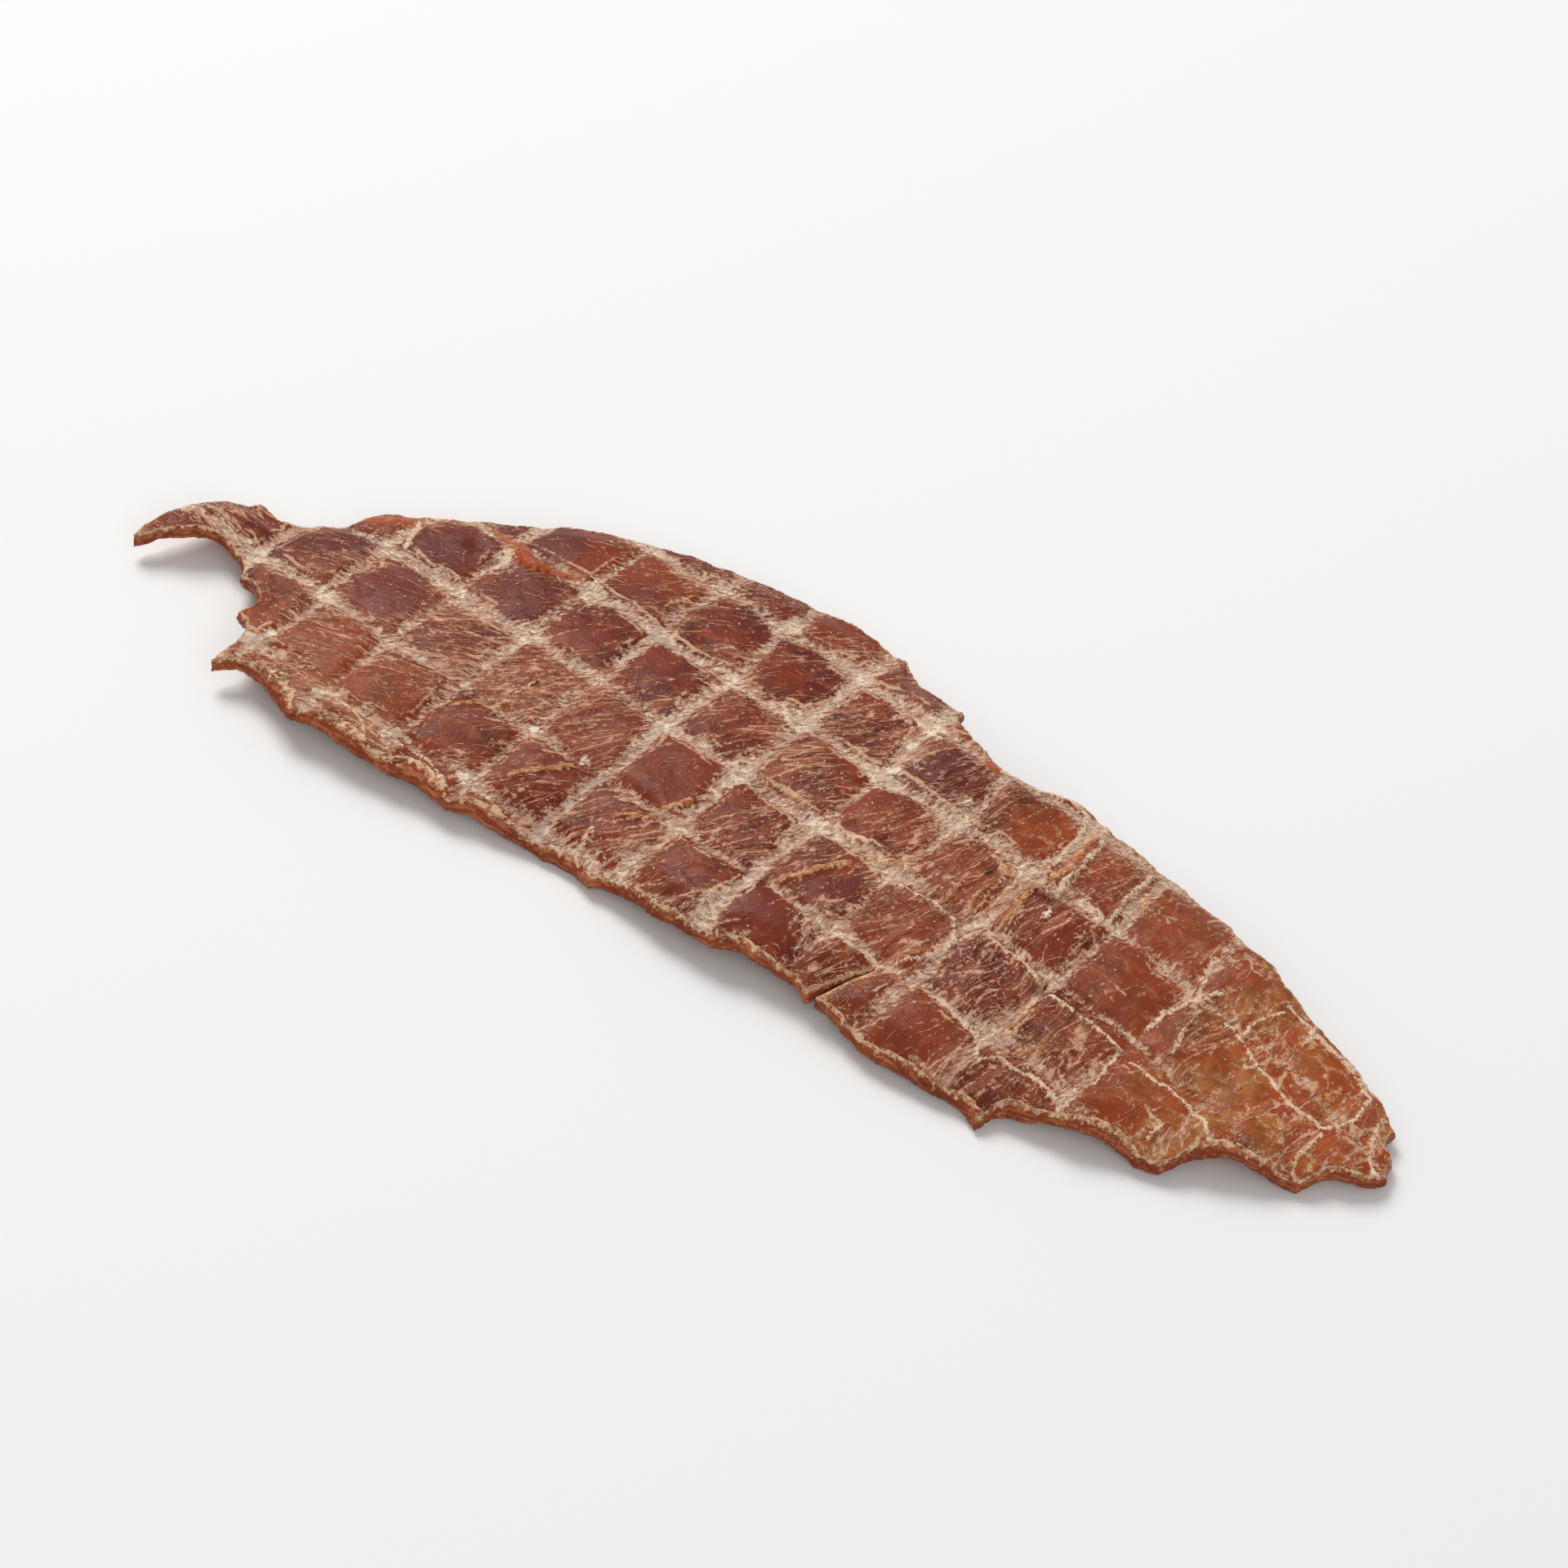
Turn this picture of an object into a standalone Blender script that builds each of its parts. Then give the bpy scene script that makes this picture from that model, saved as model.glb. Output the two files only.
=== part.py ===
"""One dried slice of duck breast: a thin, leathery, ragged-edged strip of meat.

The upper face carries the square imprint of a drying rack: pressed grooves with
pillowed cells between them. The underside is smoother and follows the warp.
All driving sizes are in millimetres; the mesh is written in metres, +Z up, with
the slice lying on z = 0 and its length along X.
"""

import math

import bmesh
import bpy
import numpy as np
from mathutils import Vector
from mathutils.geometry import delaunay_2d_cdt

COLLECTION = "duck_breast_jerky"
NODE = "jerky_slice"
MM = 0.001

# Thickness of the dried meat, measured across the slice
THICKNESS_CELL = 2.5
THICKNESS_RIM = 1.7
RIM_TAPER = 3.5
RIM_ROUND = 0.30

# Imprint of the drying rack
RACK_PITCH_X = 10.15
RACK_PITCH_Y = 10.0
RACK_START_X = -54.9
RACK_START_Y = -0.9
RACK_SKEW_X = 0.10
RACK_SKEW_Y = -0.097
PRESS_LEVEL = 2.7
PRESS_LEAN_X = -0.437
PRESS_LEAN_Y = 0.790
RACK_WOBBLE = 0.7
RACK_BOW = 0.0025
GROOVE_DEPTH = 0.55
GROOVE_HALF_WIDTH = 0.95
GROOVE_FADE_START = 22.0
GROOVE_FADE_END = 66.0
GROOVE_FAINT = 0.35
PILLOW_HEIGHT = 0.35
SURFACE_NOISE = 0.16

# Gentle dome of the whole slice
ARCH_LENGTH = 3.3
ARCH_WIDTH = 2.1
ARCH_HALF_LENGTH = 78.0
ARCH_HALF_WIDTH = 25.0
ARCH_CENTRE_Y = -2.0

# Places where the dried edge lifts (+) or touches down (-): x, y, radius, height
EDGE_CURLS = (
    (-46.0, -22.0, 12.0, 1.9),
    (-14.0, -23.0, 8.0, -2.1),
    (8.0, -22.0, 9.0, 0.8),
    (39.5, -25.5, 5.0, -0.9),
    (48.5, -22.0, 5.0, 1.7),
    (56.0, -21.0, 4.0, -0.6),
    (62.5, -15.0, 4.5, 1.9),
    (68.5, -13.8, 3.5, -0.8),
    (72.5, -10.5, 3.0, 1.3),
    (-4.0, 27.0, 9.0, -1.4),
    (15.0, 16.0, 7.0, 0.9),
    (32.0, 18.0, 8.0, -2.0),
    (50.0, 11.0, 8.0, 0.7),
    (-44.0, 17.0, 9.0, 0.7),
    (-67.0, 4.0, 6.5, -2.6),
    (-73.0, -7.0, 8.0, 2.4),
    (-58.5, -17.0, 6.0, 1.2),
)

# Thick strand that was pulled up between two cells: start, end, radius, height
STRAND_START = (29.6, 16.6)
STRAND_END = (30.6, 5.2)
STRAND_RADIUS = 0.9
STRAND_HEIGHT = 0.75

# Corners of the torn outline keep their point; the rest is rounded off.
# Clockwise from the tip of the flap at the left end: x, y, is a corner
OUTLINE = (
    (-76.7, -11.3, 1),
    (-76.4, -7.8, 0),
    (-74.0, -2.7, 0),
    (-70.0, 2.4, 1),
    (-66.5, 2.0, 0),
    (-62.1, 4.1, 0),
    (-57.5, 8.9, 0),
    (-51.5, 12.6, 0),
    (-44.5, 15.8, 1),
    (-39.0, 20.4, 0),
    (-31.5, 23.8, 0),
    (-22.5, 25.3, 1),
    (-16.0, 25.9, 0),
    (-8.2, 26.7, 0),
    (-1.2, 25.6, 1),
    (3.6, 22.6, 0),
    (8.5, 21.6, 1),
    (8.8, 19.8, 1),
    (13.0, 17.4, 0),
    (16.3, 15.8, 0),
    (20.2, 16.4, 0),
    (25.5, 18.0, 1),
    (31.9, 17.3, 0),
    (35.6, 15.9, 1),
    (41.3, 13.6, 0),
    (47.3, 11.5, 1),
    (52.6, 9.9, 0),
    (58.0, 7.3, 0),
    (66.5, 3.7, 1),
    (70.4, 1.6, 0),
    (73.5, -0.5, 1),
    (73.3, -2.6, 0),
    (74.3, -3.4, 0),
    (75.7, -6.1, 1),
    (74.3, -7.7, 0),
    (71.1, -9.9, 0),
    (68.6, -12.7, 1),
    (65.2, -13.8, 0),
    (62.1, -15.0, 0),
    (59.2, -16.6, 0),
    (57.0, -19.1, 0),
    (54.8, -19.9, 1),
    (51.5, -19.9, 0),
    (45.5, -21.4, 0),
    (41.0, -22.3, 0),
    (39.4, -24.7, 1),
    (36.3, -23.8, 0),
    (32.8, -24.5, 1),
    (24.7, -24.0, 0),
    (19.9, -22.7, 1),
    (16.3, -22.0, 1),
    (10.6, -21.9, 0),
    (4.4, -22.7, 1),
    (-6.7, -21.8, 0),
    (-9.0, -22.3, 1),
    (-12.8, -21.1, 0),
    (-18.7, -21.9, 1),
    (-22.8, -21.8, 0),
    (-26.6, -22.6, 1),
    (-31.5, -22.4, 0),
    (-37.6, -23.3, 1),
    (-43.0, -22.7, 0),
    (-47.1, -23.5, 1),
    (-50.1, -21.8, 0),
    (-54.8, -20.1, 0),
    (-57.9, -21.4, 1),
    (-57.5, -19.4, 0),
    (-57.9, -16.1, 0),
    (-60.0, -14.6, 1),
    (-59.8, -12.1, 0),
    (-61.2, -9.8, 0),
    (-63.6, -9.4, 1),
    (-65.5, -7.6, 0),
    (-69.3, -6.5, 0),
    (-73.3, -9.1, 0),
)

# Drying crack that opens from the lower edge
CRACK_AFTER = 49
CRACK_END = (21.5, -16.0)
CRACK_BEND = (19.8, -19.5)
CRACK_MOUTH = 1.0
CRACK_TIP = 0.25

# Seeded raggedness of the outline
RAGGED_SEED = 11
RAGGED_STEP = 2.4
RAGGED_DEPTH = 0.30

# Side wall: between the rack's wires the lower edge is cut back in crescents.
# Positions along the edge and how far the top is set back there
CRESCENT_X = (-58.0, -48.0, -30.0, -14.0, 12.0, 30.0, 46.0, 64.0, 76.0)
CRESCENT_DEPTH = (0.2, 1.5, 1.5, 0.7, 0.5, 0.6, 1.1, 0.9, 0.2)

# Mesh density
OUTLINE_STEP = 1.35
TOP_FRACTIONS = (0.0, 0.11, 0.22, 0.40, 0.60, 0.78, 0.89)
BOTTOM_FRACTIONS = (0.0, 0.25, 0.5, 0.75)
TOP_CLEARANCE = 0.75
BOTTOM_CLEARANCE = 1.2

MEAT_COLOUR = (0.36, 0.135, 0.075, 1.0)
MEAT_ROUGHNESS = 0.5


def smooth_noise(x, y, cell, seed):
    """Seeded value noise in the range -1..1, smooth over one cell."""
    table = np.random.default_rng(seed).uniform(-1.0, 1.0, (64, 64))
    gx = np.asarray(x) / cell + 31.0
    gy = np.asarray(y) / cell + 31.0
    ix = np.floor(gx).astype(int)
    iy = np.floor(gy).astype(int)
    fx = gx - ix
    fy = gy - iy
    fx = fx * fx * (3.0 - 2.0 * fx)
    fy = fy * fy * (3.0 - 2.0 * fy)
    low = table[ix % 64, iy % 64] * (1 - fx) + table[(ix + 1) % 64, iy % 64] * fx
    high = table[ix % 64, (iy + 1) % 64] * (1 - fx) + table[(ix + 1) % 64, (iy + 1) % 64] * fx
    return low * (1 - fy) + high * fy


def blend(value, start, end):
    """0 at start, 1 at end, smooth between."""
    t = np.clip((np.asarray(value) - start) / (end - start), 0.0, 1.0)
    return t * t * (3.0 - 2.0 * t)


def pressed(x, y):
    """Where a point lay while the rack pressed the slice, before it arched."""
    rise = THICKNESS_CELL + underside_warp(x, y) - PRESS_LEVEL
    return x + PRESS_LEAN_X * rise, y + PRESS_LEAN_Y * rise


def rack_coordinates(x, y):
    """Position in the rack's mesh: whole numbers are on its wires."""
    x, y = pressed(x, y)
    bow = RACK_BOW * np.maximum(0.0, x - 20.0) ** 2
    v = (y - RACK_START_Y - RACK_SKEW_Y * x + bow) / RACK_PITCH_Y
    wobble = RACK_WOBBLE * np.sin(2.0 * math.pi * (x + 34.6) / 140.0)
    u = (x - RACK_SKEW_X * y - RACK_START_X + wobble) / RACK_PITCH_X
    return u, v


def rack_point(u, v):
    """The x, y of a position in the rack's mesh, by fixed-point steps."""
    x = RACK_START_X + u * RACK_PITCH_X
    y = RACK_START_Y + v * RACK_PITCH_Y
    for _ in range(40):
        got_u, got_v = rack_coordinates(x, y)
        x += (u - got_u) * RACK_PITCH_X
        y += (v - got_v) * RACK_PITCH_Y
    return x, y


def underside_warp(x, y):
    """Height of the underside before it is set down on the ground."""
    along = 1.0 - (x / ARCH_HALF_LENGTH) ** 2
    across = ((y - ARCH_CENTRE_Y) / ARCH_HALF_WIDTH) ** 2
    height = ARCH_LENGTH * along - ARCH_WIDTH * across
    for cx, cy, radius, lift in EDGE_CURLS:
        height = height + lift * np.exp(-((x - cx) ** 2 + (y - cy) ** 2) / radius ** 2)
    return height + 0.25 * smooth_noise(x, y, 14.0, 3)


def set_down(height):
    """Soft limit at the ground, so that the low places rest flat on it."""
    return np.maximum(0.0, height)


def strand_height(x, y):
    """Relief of the pulled-up strand."""
    x, y = pressed(x, y)
    ax, ay = STRAND_START
    bx, by = STRAND_END
    length2 = (bx - ax) ** 2 + (by - ay) ** 2
    t = np.clip(((x - ax) * (bx - ax) + (y - ay) * (by - ay)) / length2, 0.0, 1.0)
    bend = 0.6 * np.sin(math.pi * t)
    away = np.hypot(x - (ax + t * (bx - ax)) - bend, y - (ay + t * (by - ay)))
    return STRAND_HEIGHT * np.exp(-(away / STRAND_RADIUS) ** 2)


def imprint(x, y):
    """Groove and pillow relief of the rack on the upper face."""
    u, v = rack_coordinates(x, y)
    nearest_u = np.abs(u - np.round(u)) * RACK_PITCH_X
    nearest_v = np.abs(v - np.round(v)) * RACK_PITCH_Y
    line_u = np.exp(-(nearest_u / GROOVE_HALF_WIDTH) ** 2)
    line_v = np.exp(-(nearest_v / GROOVE_HALF_WIDTH) ** 2)
    fade = 1.0 - (1.0 - GROOVE_FAINT) * blend(x, GROOVE_FADE_START, GROOVE_FADE_END)
    broken = 0.8 + 0.35 * smooth_noise(x, y, 9.0, 5)
    groove = GROOVE_DEPTH * fade * broken * np.maximum(line_u, line_v)
    cell_u = np.floor(u)
    cell_v = np.floor(v)
    swell = 1.0 + 0.5 * np.sin(cell_u * 12.9 + cell_v * 78.2)
    hump = np.sin(math.pi * (u - cell_u)) * np.sin(math.pi * (v - cell_v))
    return PILLOW_HEIGHT * swell * np.abs(hump) ** 0.7 - groove


def thickness(x, y, to_rim):
    """Thickness of the meat at a distance to_rim from the outline."""
    inner = blend(to_rim, 0.0, RIM_TAPER)
    body = THICKNESS_RIM + (THICKNESS_CELL - THICKNESS_RIM) * inner
    relief = imprint(x, y) * (0.35 + 0.65 * inner)
    grain = SURFACE_NOISE * smooth_noise(x, y, 3.2, 7) * inner
    return body + relief + grain + strand_height(x, y)


def rounded_curve(points, step):
    """Catmull-Rom curve that keeps the corners, in points about step apart."""
    count = len(points)
    result = []
    for index in range(count):
        before = np.array(points[index - 1][:2])
        start = np.array(points[index][:2])
        end = np.array(points[(index + 1) % count][:2])
        after = np.array(points[(index + 2) % count][:2])
        start_slope = 0.5 * (end - before)
        end_slope = 0.5 * (after - start)
        if points[index][2]:
            start_slope = end - start
        if points[(index + 1) % count][2]:
            end_slope = end - start
        span = np.linalg.norm(end - start)
        limit = 1.2 * span
        start_slope = start_slope * min(1.0, limit / max(1e-9, np.linalg.norm(start_slope)))
        end_slope = end_slope * min(1.0, limit / max(1e-9, np.linalg.norm(end_slope)))
        pieces = max(1, round(span / step))
        for piece in range(pieces):
            t = piece / pieces
            h1 = 2 * t ** 3 - 3 * t ** 2 + 1
            h2 = t ** 3 - 2 * t ** 2 + t
            h3 = -2 * t ** 3 + 3 * t ** 2
            h4 = t ** 3 - t ** 2
            point = h1 * start + h2 * start_slope + h3 * end + h4 * end_slope
            result.append((point[0], point[1], index))
    return result


def outward_normals(points):
    """Unit normals that point out of a clockwise outline."""
    ahead = np.roll(points, -1, axis=0) - points
    behind = points - np.roll(points, 1, axis=0)
    ahead = ahead / np.linalg.norm(ahead, axis=1)[:, None]
    behind = behind / np.linalg.norm(behind, axis=1)[:, None]
    tangent = ahead + behind
    tangent = tangent / np.maximum(1e-6, np.linalg.norm(tangent, axis=1))[:, None]
    return np.stack([-tangent[:, 1], tangent[:, 0]], axis=1)


def crack_points():
    """Both sides of the crack, from the lower edge in and out again."""
    start = np.array(OUTLINE[CRACK_AFTER][:2])
    finish = np.array(OUTLINE[CRACK_AFTER + 1][:2])
    mouth = 0.5 * (start + finish)
    path = [mouth, np.array(CRACK_BEND), np.array(CRACK_END)]
    middle = []
    for a, b in zip(path, path[1:]):
        pieces = max(1, round(np.linalg.norm(b - a) / OUTLINE_STEP))
        middle += [a + (b - a) * piece / pieces for piece in range(pieces)]
    middle.append(path[-1])
    right = []
    left = []
    for index, point in enumerate(middle):
        t = index / (len(middle) - 1)
        width = CRACK_MOUTH * (1.0 - t) + CRACK_TIP * t
        side = 0.12 * math.sin(7.0 * t + 1.0)
        right.append((point[0] + 0.5 * width + side, point[1] + 0.1 * width))
        left.append((point[0] - 0.5 * width + side, point[1] - 0.1 * width))
    return right[:-1] + [tuple(middle[-1] + np.array([0.05, 0.35]))] + left[:-1][::-1]


def slice_outline():
    """The whole torn outline, with its crack and its seeded raggedness."""
    curve = rounded_curve(OUTLINE, OUTLINE_STEP)
    points = np.array([(x, y) for x, y, _ in curve])
    normals = outward_normals(points)
    lengths = np.linalg.norm(np.roll(points, -1, axis=0) - points, axis=1)
    travelled = np.concatenate([[0.0], np.cumsum(lengths)[:-1]])
    ragged = smooth_noise(travelled, travelled * 0.0, RAGGED_STEP, RAGGED_SEED)
    points = points + normals * (RAGGED_DEPTH * ragged)[:, None]
    result = []
    owners = [index for _, _, index in curve]
    in_crack = []
    for number, (point, owner) in enumerate(zip(points, owners)):
        if owner == CRACK_AFTER:
            if number and owners[number - 1] != owner:
                result.append(tuple(point))
                in_crack.append(False)
                side = crack_points()
                result += side
                in_crack += [True] * len(side)
            continue
        result.append(tuple(point))
        in_crack.append(False)
    return np.array(result), np.array(in_crack)


def distance_to_outline(x, y, outline):
    """Shortest distance from each point to the outline."""
    start = outline
    end = np.roll(outline, -1, axis=0)
    best = np.full(len(x), 1e9)
    for a, b in zip(start, end):
        d = b - a
        t = np.clip(((x - a[0]) * d[0] + (y - a[1]) * d[1]) / max(1e-9, d @ d), 0.0, 1.0)
        best = np.minimum(best, np.hypot(x - a[0] - t * d[0], y - a[1] - t * d[1]))
    return best


def inside_outline(x, y, outline):
    """True for the points inside the outline."""
    inside = np.zeros(len(x), bool)
    end = np.roll(outline, -1, axis=0)
    for a, b in zip(outline, end):
        crosses = (a[1] > y) != (b[1] > y)
        rise = b[1] - a[1]
        if abs(rise) < 1e-12:
            continue
        inside ^= crosses & (x < (b[0] - a[0]) * (y - a[1]) / rise + a[0])
    return inside


def rack_points(fractions, outline, clearance):
    """Mesh points laid out on the rack's cells, clear of the outline."""
    found = []
    for column in range(-4, 15):
        for row in range(-5, 6):
            for fu in fractions:
                for fv in fractions:
                    found.append((column + fu, row + fv))
    grid = np.array(found)
    x, y = rack_point(grid[:, 0], grid[:, 1])
    x = x + 0.22 * smooth_noise(x, y, 1.7, 21)
    y = y + 0.22 * smooth_noise(x, y, 1.7, 22)
    keep = inside_outline(x, y, outline)
    x, y = x[keep], y[keep]
    keep = distance_to_outline(x, y, outline) > clearance
    return np.stack([x[keep], y[keep]], axis=1)


def rim_setback(outline, normals, in_crack):
    """How far the top of the side wall stands back from each outline point."""
    u, _ = rack_coordinates(outline[:, 0], outline[:, 1])
    depth = np.interp(outline[:, 0], CRESCENT_X, CRESCENT_DEPTH)
    faces_down = blend(-normals[:, 1], 0.5, 0.9)
    crack_x = 0.5 * (OUTLINE[CRACK_AFTER][0] + OUTLINE[CRACK_AFTER + 1][0])
    clear_of_crack = blend(np.abs(outline[:, 0] - crack_x), 1.5, 4.0)
    arc = np.abs(np.sin(math.pi * u)) ** 0.8
    setback = RIM_ROUND + depth * arc * faces_down * clear_of_crack
    setback = (np.roll(setback, 1) + 2.0 * setback + np.roll(setback, -1)) / 4.0
    return np.where(in_crack, 0.3 * RIM_ROUND, setback)


def triangulate(outline, inner):
    """Triangles over the outline and the inner points, facing up."""
    points = np.concatenate([outline, inner])
    border = len(outline)
    edges = [(i, (i + 1) % border) for i in range(border)]
    vectors = [Vector((float(p[0]), float(p[1]))) for p in points]
    out, _, faces, _, _, _ = delaunay_2d_cdt(vectors, edges, [], 1, 1e-7, True)
    if len(out) != len(points):
        raise ValueError("the outline crosses itself")
    xy = np.array([(v.x, v.y) for v in out])
    triangles = np.array([list(face) for face in faces])
    middle = xy[triangles].mean(axis=1)
    triangles = triangles[inside_outline(middle[:, 0], middle[:, 1], outline)]
    return [tuple(int(i) for i in t) for t in triangles]


def make_slice():
    """Vertices and faces of the closed slice, in millimetres."""
    outline, in_crack = slice_outline()
    normals = outward_normals(outline)
    inset = np.where(in_crack, 0.3 * RIM_ROUND, RIM_ROUND)
    top_rim = outline - normals * rim_setback(outline, normals, in_crack)[:, None]
    bottom_rim = outline - normals * inset[:, None]
    count = len(outline)

    top_inner = rack_points(TOP_FRACTIONS, top_rim, TOP_CLEARANCE - RIM_ROUND)
    bottom_inner = rack_points(BOTTOM_FRACTIONS, outline, BOTTOM_CLEARANCE)

    top = np.concatenate([top_rim, top_inner])
    bottom = np.concatenate([bottom_rim, bottom_inner])
    top_depth = distance_to_outline(top[:, 0], top[:, 1], outline)
    base = set_down(underside_warp(top[:, 0], top[:, 1]))
    top_z = base + thickness(top[:, 0], top[:, 1], top_depth)
    bottom_z = set_down(underside_warp(bottom[:, 0], bottom[:, 1]))

    travelled = np.arange(count)
    waist = 0.5 + 0.12 * smooth_noise(travelled, travelled * 0.0, 2.3, 31)
    middle_z = bottom_z[:count] + (top_z[:count] - bottom_z[:count]) * waist

    vertices = [(x, y, z) for (x, y), z in zip(top, top_z)]
    faces = triangulate(top_rim, top_inner)
    middle_at = len(vertices)
    vertices += [(x, y, z) for (x, y), z in zip(outline, middle_z)]
    bottom_at = len(vertices)
    vertices += [(x, y, z) for (x, y), z in zip(bottom, bottom_z)]
    below = triangulate(bottom_rim, bottom_inner)
    faces += [(bottom_at + c, bottom_at + b, bottom_at + a) for a, b, c in below]
    for i in range(count):
        j = (i + 1) % count
        faces.append((i, j, middle_at + j))
        faces.append((i, middle_at + j, middle_at + i))
        faces.append((middle_at + i, middle_at + j, bottom_at + j))
        faces.append((middle_at + i, bottom_at + j, bottom_at + i))
    return np.array(vertices), faces


def centred(vertices):
    """The vertices in metres, with the origin at the bottom centre of their box."""
    low = vertices.min(axis=0)
    high = vertices.max(axis=0)
    origin = np.array([0.5 * (low[0] + high[0]), 0.5 * (low[1] + high[1]), low[2]])
    return (vertices - origin) * MM


def meat_material():
    """Dried red-brown meat."""
    material = bpy.data.materials.new("jerky_meat")
    material.use_nodes = True
    shader = material.node_tree.nodes["Principled BSDF"]
    shader.inputs["Base Color"].default_value = MEAT_COLOUR
    shader.inputs["Roughness"].default_value = MEAT_ROUGHNESS
    return material


def clear_scene():
    """Remove whatever objects and collections are there."""
    for item in list(bpy.data.objects):
        bpy.data.objects.remove(item, do_unlink=True)
    for group in list(bpy.data.collections):
        bpy.data.collections.remove(group)


def main():
    """Build the slice."""
    clear_scene()
    group = bpy.data.collections.new(COLLECTION)
    bpy.context.scene.collection.children.link(group)
    vertices, faces = make_slice()
    mesh = bpy.data.meshes.new(NODE)
    mesh.from_pydata([tuple(v) for v in centred(vertices)], [], faces)
    shape = bmesh.new()
    shape.from_mesh(mesh)
    bmesh.ops.recalc_face_normals(shape, faces=shape.faces)
    shape.to_mesh(mesh)
    shape.free()
    mesh.materials.append(meat_material())
    mesh.validate()
    item = bpy.data.objects.new(NODE, mesh)
    group.objects.link(item)


main()
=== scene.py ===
import math

import bpy
import numpy as np
from mathutils import Matrix, Vector
from mathutils.geometry import delaunay_2d_cdt


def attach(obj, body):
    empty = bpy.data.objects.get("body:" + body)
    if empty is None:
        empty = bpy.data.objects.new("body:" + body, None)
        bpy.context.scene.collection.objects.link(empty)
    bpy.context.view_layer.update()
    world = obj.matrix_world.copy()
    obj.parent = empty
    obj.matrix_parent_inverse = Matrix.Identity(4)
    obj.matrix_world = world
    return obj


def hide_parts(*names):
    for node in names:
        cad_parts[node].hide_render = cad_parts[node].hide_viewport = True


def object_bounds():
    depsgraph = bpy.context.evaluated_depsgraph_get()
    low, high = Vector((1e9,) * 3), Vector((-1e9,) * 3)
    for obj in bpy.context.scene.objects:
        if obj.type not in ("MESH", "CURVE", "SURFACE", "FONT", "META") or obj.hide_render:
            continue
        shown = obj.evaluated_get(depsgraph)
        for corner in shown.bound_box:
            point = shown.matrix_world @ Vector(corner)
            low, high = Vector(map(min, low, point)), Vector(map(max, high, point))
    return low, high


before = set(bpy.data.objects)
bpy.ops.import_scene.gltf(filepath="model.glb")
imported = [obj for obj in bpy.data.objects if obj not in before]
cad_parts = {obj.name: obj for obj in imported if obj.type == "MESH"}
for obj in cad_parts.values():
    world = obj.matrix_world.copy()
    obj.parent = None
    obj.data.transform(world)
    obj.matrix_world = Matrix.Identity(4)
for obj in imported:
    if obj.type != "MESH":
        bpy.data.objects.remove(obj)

CAD_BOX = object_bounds()
NODE = "jerky_slice"
MM = 0.001

# Driving sizes in millimetres, with the names and values of the part's source
THICKNESS_CELL = 2.5
THICKNESS_RIM = 1.7
RIM_TAPER = 3.5
RIM_ROUND = 0.30
RACK_PITCH_X = 10.15
RACK_PITCH_Y = 10.0
RACK_START_X = -54.9
RACK_START_Y = -0.9
RACK_SKEW_X = 0.10
RACK_SKEW_Y = -0.097
PRESS_LEVEL = 2.7
PRESS_LEAN_X = -0.437
PRESS_LEAN_Y = 0.790
RACK_WOBBLE = 0.7
RACK_BOW = 0.0025
GROOVE_DEPTH = 0.55
GROOVE_HALF_WIDTH = 0.95
GROOVE_FADE_START = 22.0
GROOVE_FADE_END = 66.0
GROOVE_FAINT = 0.35
PILLOW_HEIGHT = 0.35
SURFACE_NOISE = 0.16
ARCH_LENGTH = 3.3
ARCH_WIDTH = 2.1
ARCH_HALF_LENGTH = 78.0
ARCH_HALF_WIDTH = 25.0
ARCH_CENTRE_Y = -2.0

# Places where the edge lifts or dips: x, y, radius, lift
EDGE_CURLS = (
    (-46, -22, 12, 1.9), (-14, -23, 8, -2.1), (8, -22, 9, 0.8), (39.5, -25.5, 5, -0.9),
    (48.5, -22, 5, 1.7), (56, -21, 4, -0.6), (62.5, -15, 4.5, 1.9), (68.5, -13.8, 3.5, -0.8),
    (72.5, -10.5, 3, 1.3), (-4, 27, 9, -1.4), (15, 16, 7, 0.9), (32, 18, 8, -2), (50, 11, 8, 0.7),
    (-44, 17, 9, 0.7), (-67, 4, 6.5, -2.6), (-73, -7, 8, 2.4), (-58.5, -17, 6, 1.2),
)

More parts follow.
